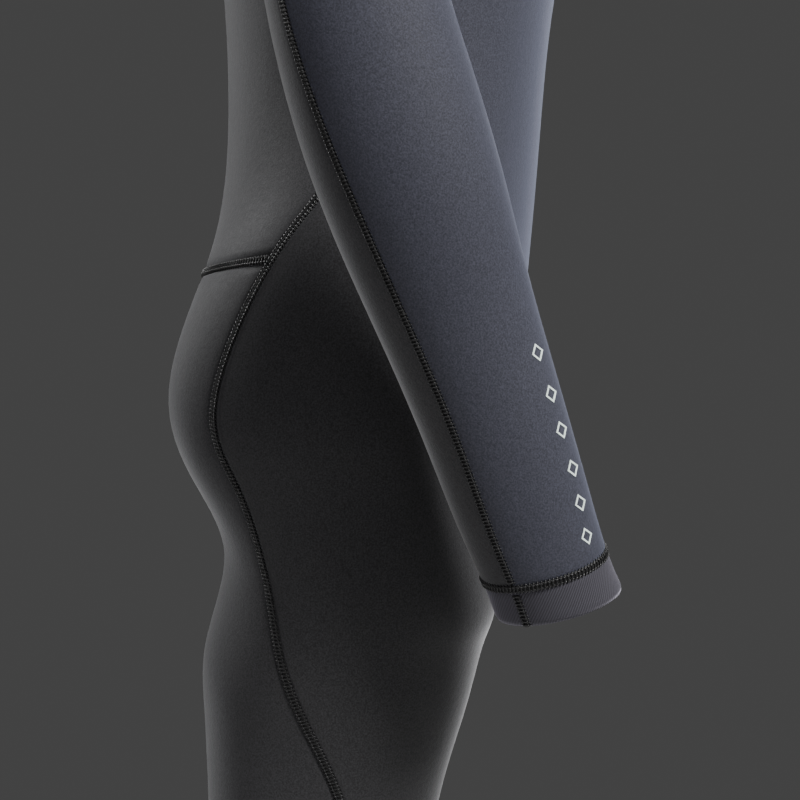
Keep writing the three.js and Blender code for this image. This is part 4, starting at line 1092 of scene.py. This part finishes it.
class WETSUIT_OT_zip(bpy.types.Operator):
    """Chest zip: two tapes with stitched edges, interlocked teeth with end stops, slider and pull"""

    bl_idname = "wetsuit.zip"
    bl_label = "Zip"

    def execute(self, context):
        self.tapes()
        self.teeth()
        for node, body, look, slot in (
            ("zip_slider", "slider", "plastic", "zip_plastic"),
            ("zip_pull", "pull", "rubber", "pull_rubber"),
        ):
            self.softened(node, body, look, slot)
        return {"FINISHED"}

    def tapes(self):
        half = math.radians(TAPE_ARC)
        profile = TAPE + tuple((across, TAPE_UNDERSIDE) for across, _ in reversed(TAPE))
        angles = np.linspace(half, -half, TAPE_SPANS + 1)
        row = np.linspace(half * ROW_SHARE, -half * ROW_SHARE, int(2 * half * ZIP_ARC_RADIUS / ROW_PITCH))
        ahead = np.array([(math.cos(a), math.sin(a), 0) for a in row])
        upward = np.array([(zip_place(a, MM, 0) - zip_place(a, 0, 0)) / MM for a in row])
        for name, hand in (("zip_tape_upper", 1), ("zip_tape_lower", -1)):
            heap = Heap()
            places = [zip_place(a, hand * u * MM, h * MM) for a in angles for u, h in profile]
            faces = loft(len(angles), len(profile))
            heap.put(places, [face[::-1] for face in faces] if hand > 0 else faces)
            for up in TAPE_ROWS:
                centres = np.array([zip_place(a, hand * up * MM, ROW_LIFT * MM) for a in row])
                off = np.cross(ahead, upward)
                heap.put(*beads(centres, ahead, upward, off, ROW_LENGTH * MM, ROW_RADIUS * MM), 1)
            item = heap.mesh(name + "_cloth", [finishes()["tape"], finishes()["thread"]])
            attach(item, "suit")
            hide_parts(name)

    def teeth(self):
        heap = Heap()
        half, stop, pitch = math.radians(CHAIN_ARC), math.radians(STOP_ARC), TOOTH_PITCH / ZIP_ARC_RADIUS

        def block(angle, span, low, high, top, taper):
            middle, places = (low + high) / 2, []
            for lift, size in ((TOOTH_FOOT, 1), (top - TOOTH_ROUNDING, 1), (top, 1 - taper)):
                for turn, up in ((-1, low), (1, low), (1, high), (-1, high)):
                    height = middle + (up - middle) * size
                    places.append(zip_place(angle + turn * span * size / 2, height * MM, lift * MM))
            heap.put(places, loft(3, 4))

        for n in range(int(2 * (half - stop) / pitch) + 1):
            for share, low, high, top, taper in TOOTH:
                if n % 2 == 0:
                    low, high = -high, -low
                block(half - stop - n * pitch, pitch * share, low, high, top, taper)
        for end in (1, -1):
            block(end * (half - stop / 2), stop, *STOP)
        angles = np.linspace(half, -half, STRIP_SPANS + 1)
        strip = [zip_place(a, u * MM, h * MM) for a in angles for u, h in STRIP]
        heap.put(strip, loft(len(angles), len(STRIP)))
        item = heap.mesh("zip_teeth", [finishes()["plastic"]], smooth=False)
        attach(item, "suit")
        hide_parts("zip_chain")

    def softened(self, node, body, look, slot):
        """A moulded piece of the same shape as its solid, with its edges rounded over."""
        mesh = NODES[node].data.copy()
        mesh.materials.clear()
        mesh.materials.append(finishes()[look])
        item = bpy.data.objects.new(node + "_moulding", mesh)
        bpy.context.scene.collection.objects.link(item)
        weld = item.modifiers.new("weld", "WELD")
        weld.merge_threshold = WELD_GAP * MM
        rounding = item.modifiers.new("rounding", "BEVEL")
        rounding.width, rounding.segments = EDGE_ROUNDING * MM, EDGE_SEGMENTS
        rounding.limit_method, rounding.angle_limit = "ANGLE", math.radians(EDGE_ANGLE)
        rounding.harden_normals = True
        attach(item, body)
        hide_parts(node)


class WETSUIT_OT_marks(bpy.types.Operator):
    """Generic printed marks down the front edge of the right forearm: six outlined lozenges"""

    bl_idname = "wetsuit.marks"
    bl_label = "Sleeve marks"

    def execute(self, context):
        body = surface()
        used = np.unique(body.panels["sleeve_outer_right"])
        used = used[body.normals[used, 0] < -MARK_FACING]
        points, normals = body.points[used], body.normals[used]

        def laid(goal, lift):
            """The place on the sleeve whose y and z are these, lifted off the cloth."""
            near = np.linalg.norm(points[:, 1:] - goal, axis=1)
            best = np.argsort(near)[:MARK_NEAREST]
            weight = 1 / (near[best] + MARK_BLUR * MM) ** 2
            weight /= weight.sum()
            away = ((goal - points[best, 1:]) * normals[best, 1:]).sum(1) / normals[best, 0]
            x = ((points[best, 0] - away) * weight).sum()
            return np.array((x, *goal)) + (normals[best] * weight[:, None]).sum(0) * lift

        down, across = np.array(FOREARM), np.array((-FOREARM[1], FOREARM[0]))
        corners = ((MARK_LENGTH, 0), (0, MARK_WIDTH), (-MARK_LENGTH, 0), (0, -MARK_WIDTH))
        outline = []
        for (a, b), (c, d) in zip(corners, corners[1:] + corners[:1]):
            for share in (0.0, 0.25, 0.5, 0.75):
                outline.append(down * (a + (c - a) * share) + across * (b + (d - b) * share))
        heap = Heap()
        for y, z in MARKS:
            centre = np.array((y - NECK_Y, z - NECK_Z)) * MM
            places = []
            for step in outline:
                rim, hole = centre + step * MM, centre + step * MARK_HOLE * MM
                places += [laid(rim, MARK_LIFT * MM), laid(hole, MARK_LIFT * MM)]
                places += [laid(hole, -MARK_DEPTH * MM), laid(rim, -MARK_DEPTH * MM)]
            heap.put(places, loft(len(outline), 4, loop=True))
        item = heap.mesh("sleeve_marks", [finishes()["print"]], smooth=False)
        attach(item, "suit")
        return {"FINISHED"}


class WETSUIT_PT_panel(bpy.types.Panel):
    """Sizes, colours and the pieces of the wetsuit"""

    bl_label = "Wetsuit"
    bl_idname = "WETSUIT_PT_panel"
    bl_space_type = "VIEW_3D"
    bl_region_type = "UI"
    bl_category = "Wetsuit"

    def draw(self, context):
        for group in (context.scene.wetsuit_sizes, context.scene.wetsuit_colours):
            box = self.layout.box()
            for name in group.__annotations__:
                box.prop(group, name)
        for operator in OPERATORS:
            self.layout.operator(operator.bl_idname)


OPERATORS = (WETSUIT_OT_stage, WETSUIT_OT_panels, WETSUIT_OT_seams, WETSUIT_OT_zip, WETSUIT_OT_marks)
CLASSES = (WetsuitSizes, WetsuitColours, *OPERATORS, WETSUIT_PT_panel)


def register():
    for cls in CLASSES:
        bpy.utils.register_class(cls)
    bpy.types.Scene.wetsuit_sizes = PointerProperty(type=WetsuitSizes)
    bpy.types.Scene.wetsuit_colours = PointerProperty(type=WetsuitColours)


def unregister():
    del bpy.types.Scene.wetsuit_sizes
    del bpy.types.Scene.wetsuit_colours
    for cls in reversed(CLASSES):
        bpy.utils.unregister_class(cls)


def main():
    register()
    bpy.ops.wetsuit.stage()
    bpy.ops.wetsuit.panels()
    bpy.ops.wetsuit.seams()
    bpy.ops.wetsuit.zip()
    bpy.ops.wetsuit.marks()
    bpy.context.view_layer.update()


if __name__ == "__main__":
    main()
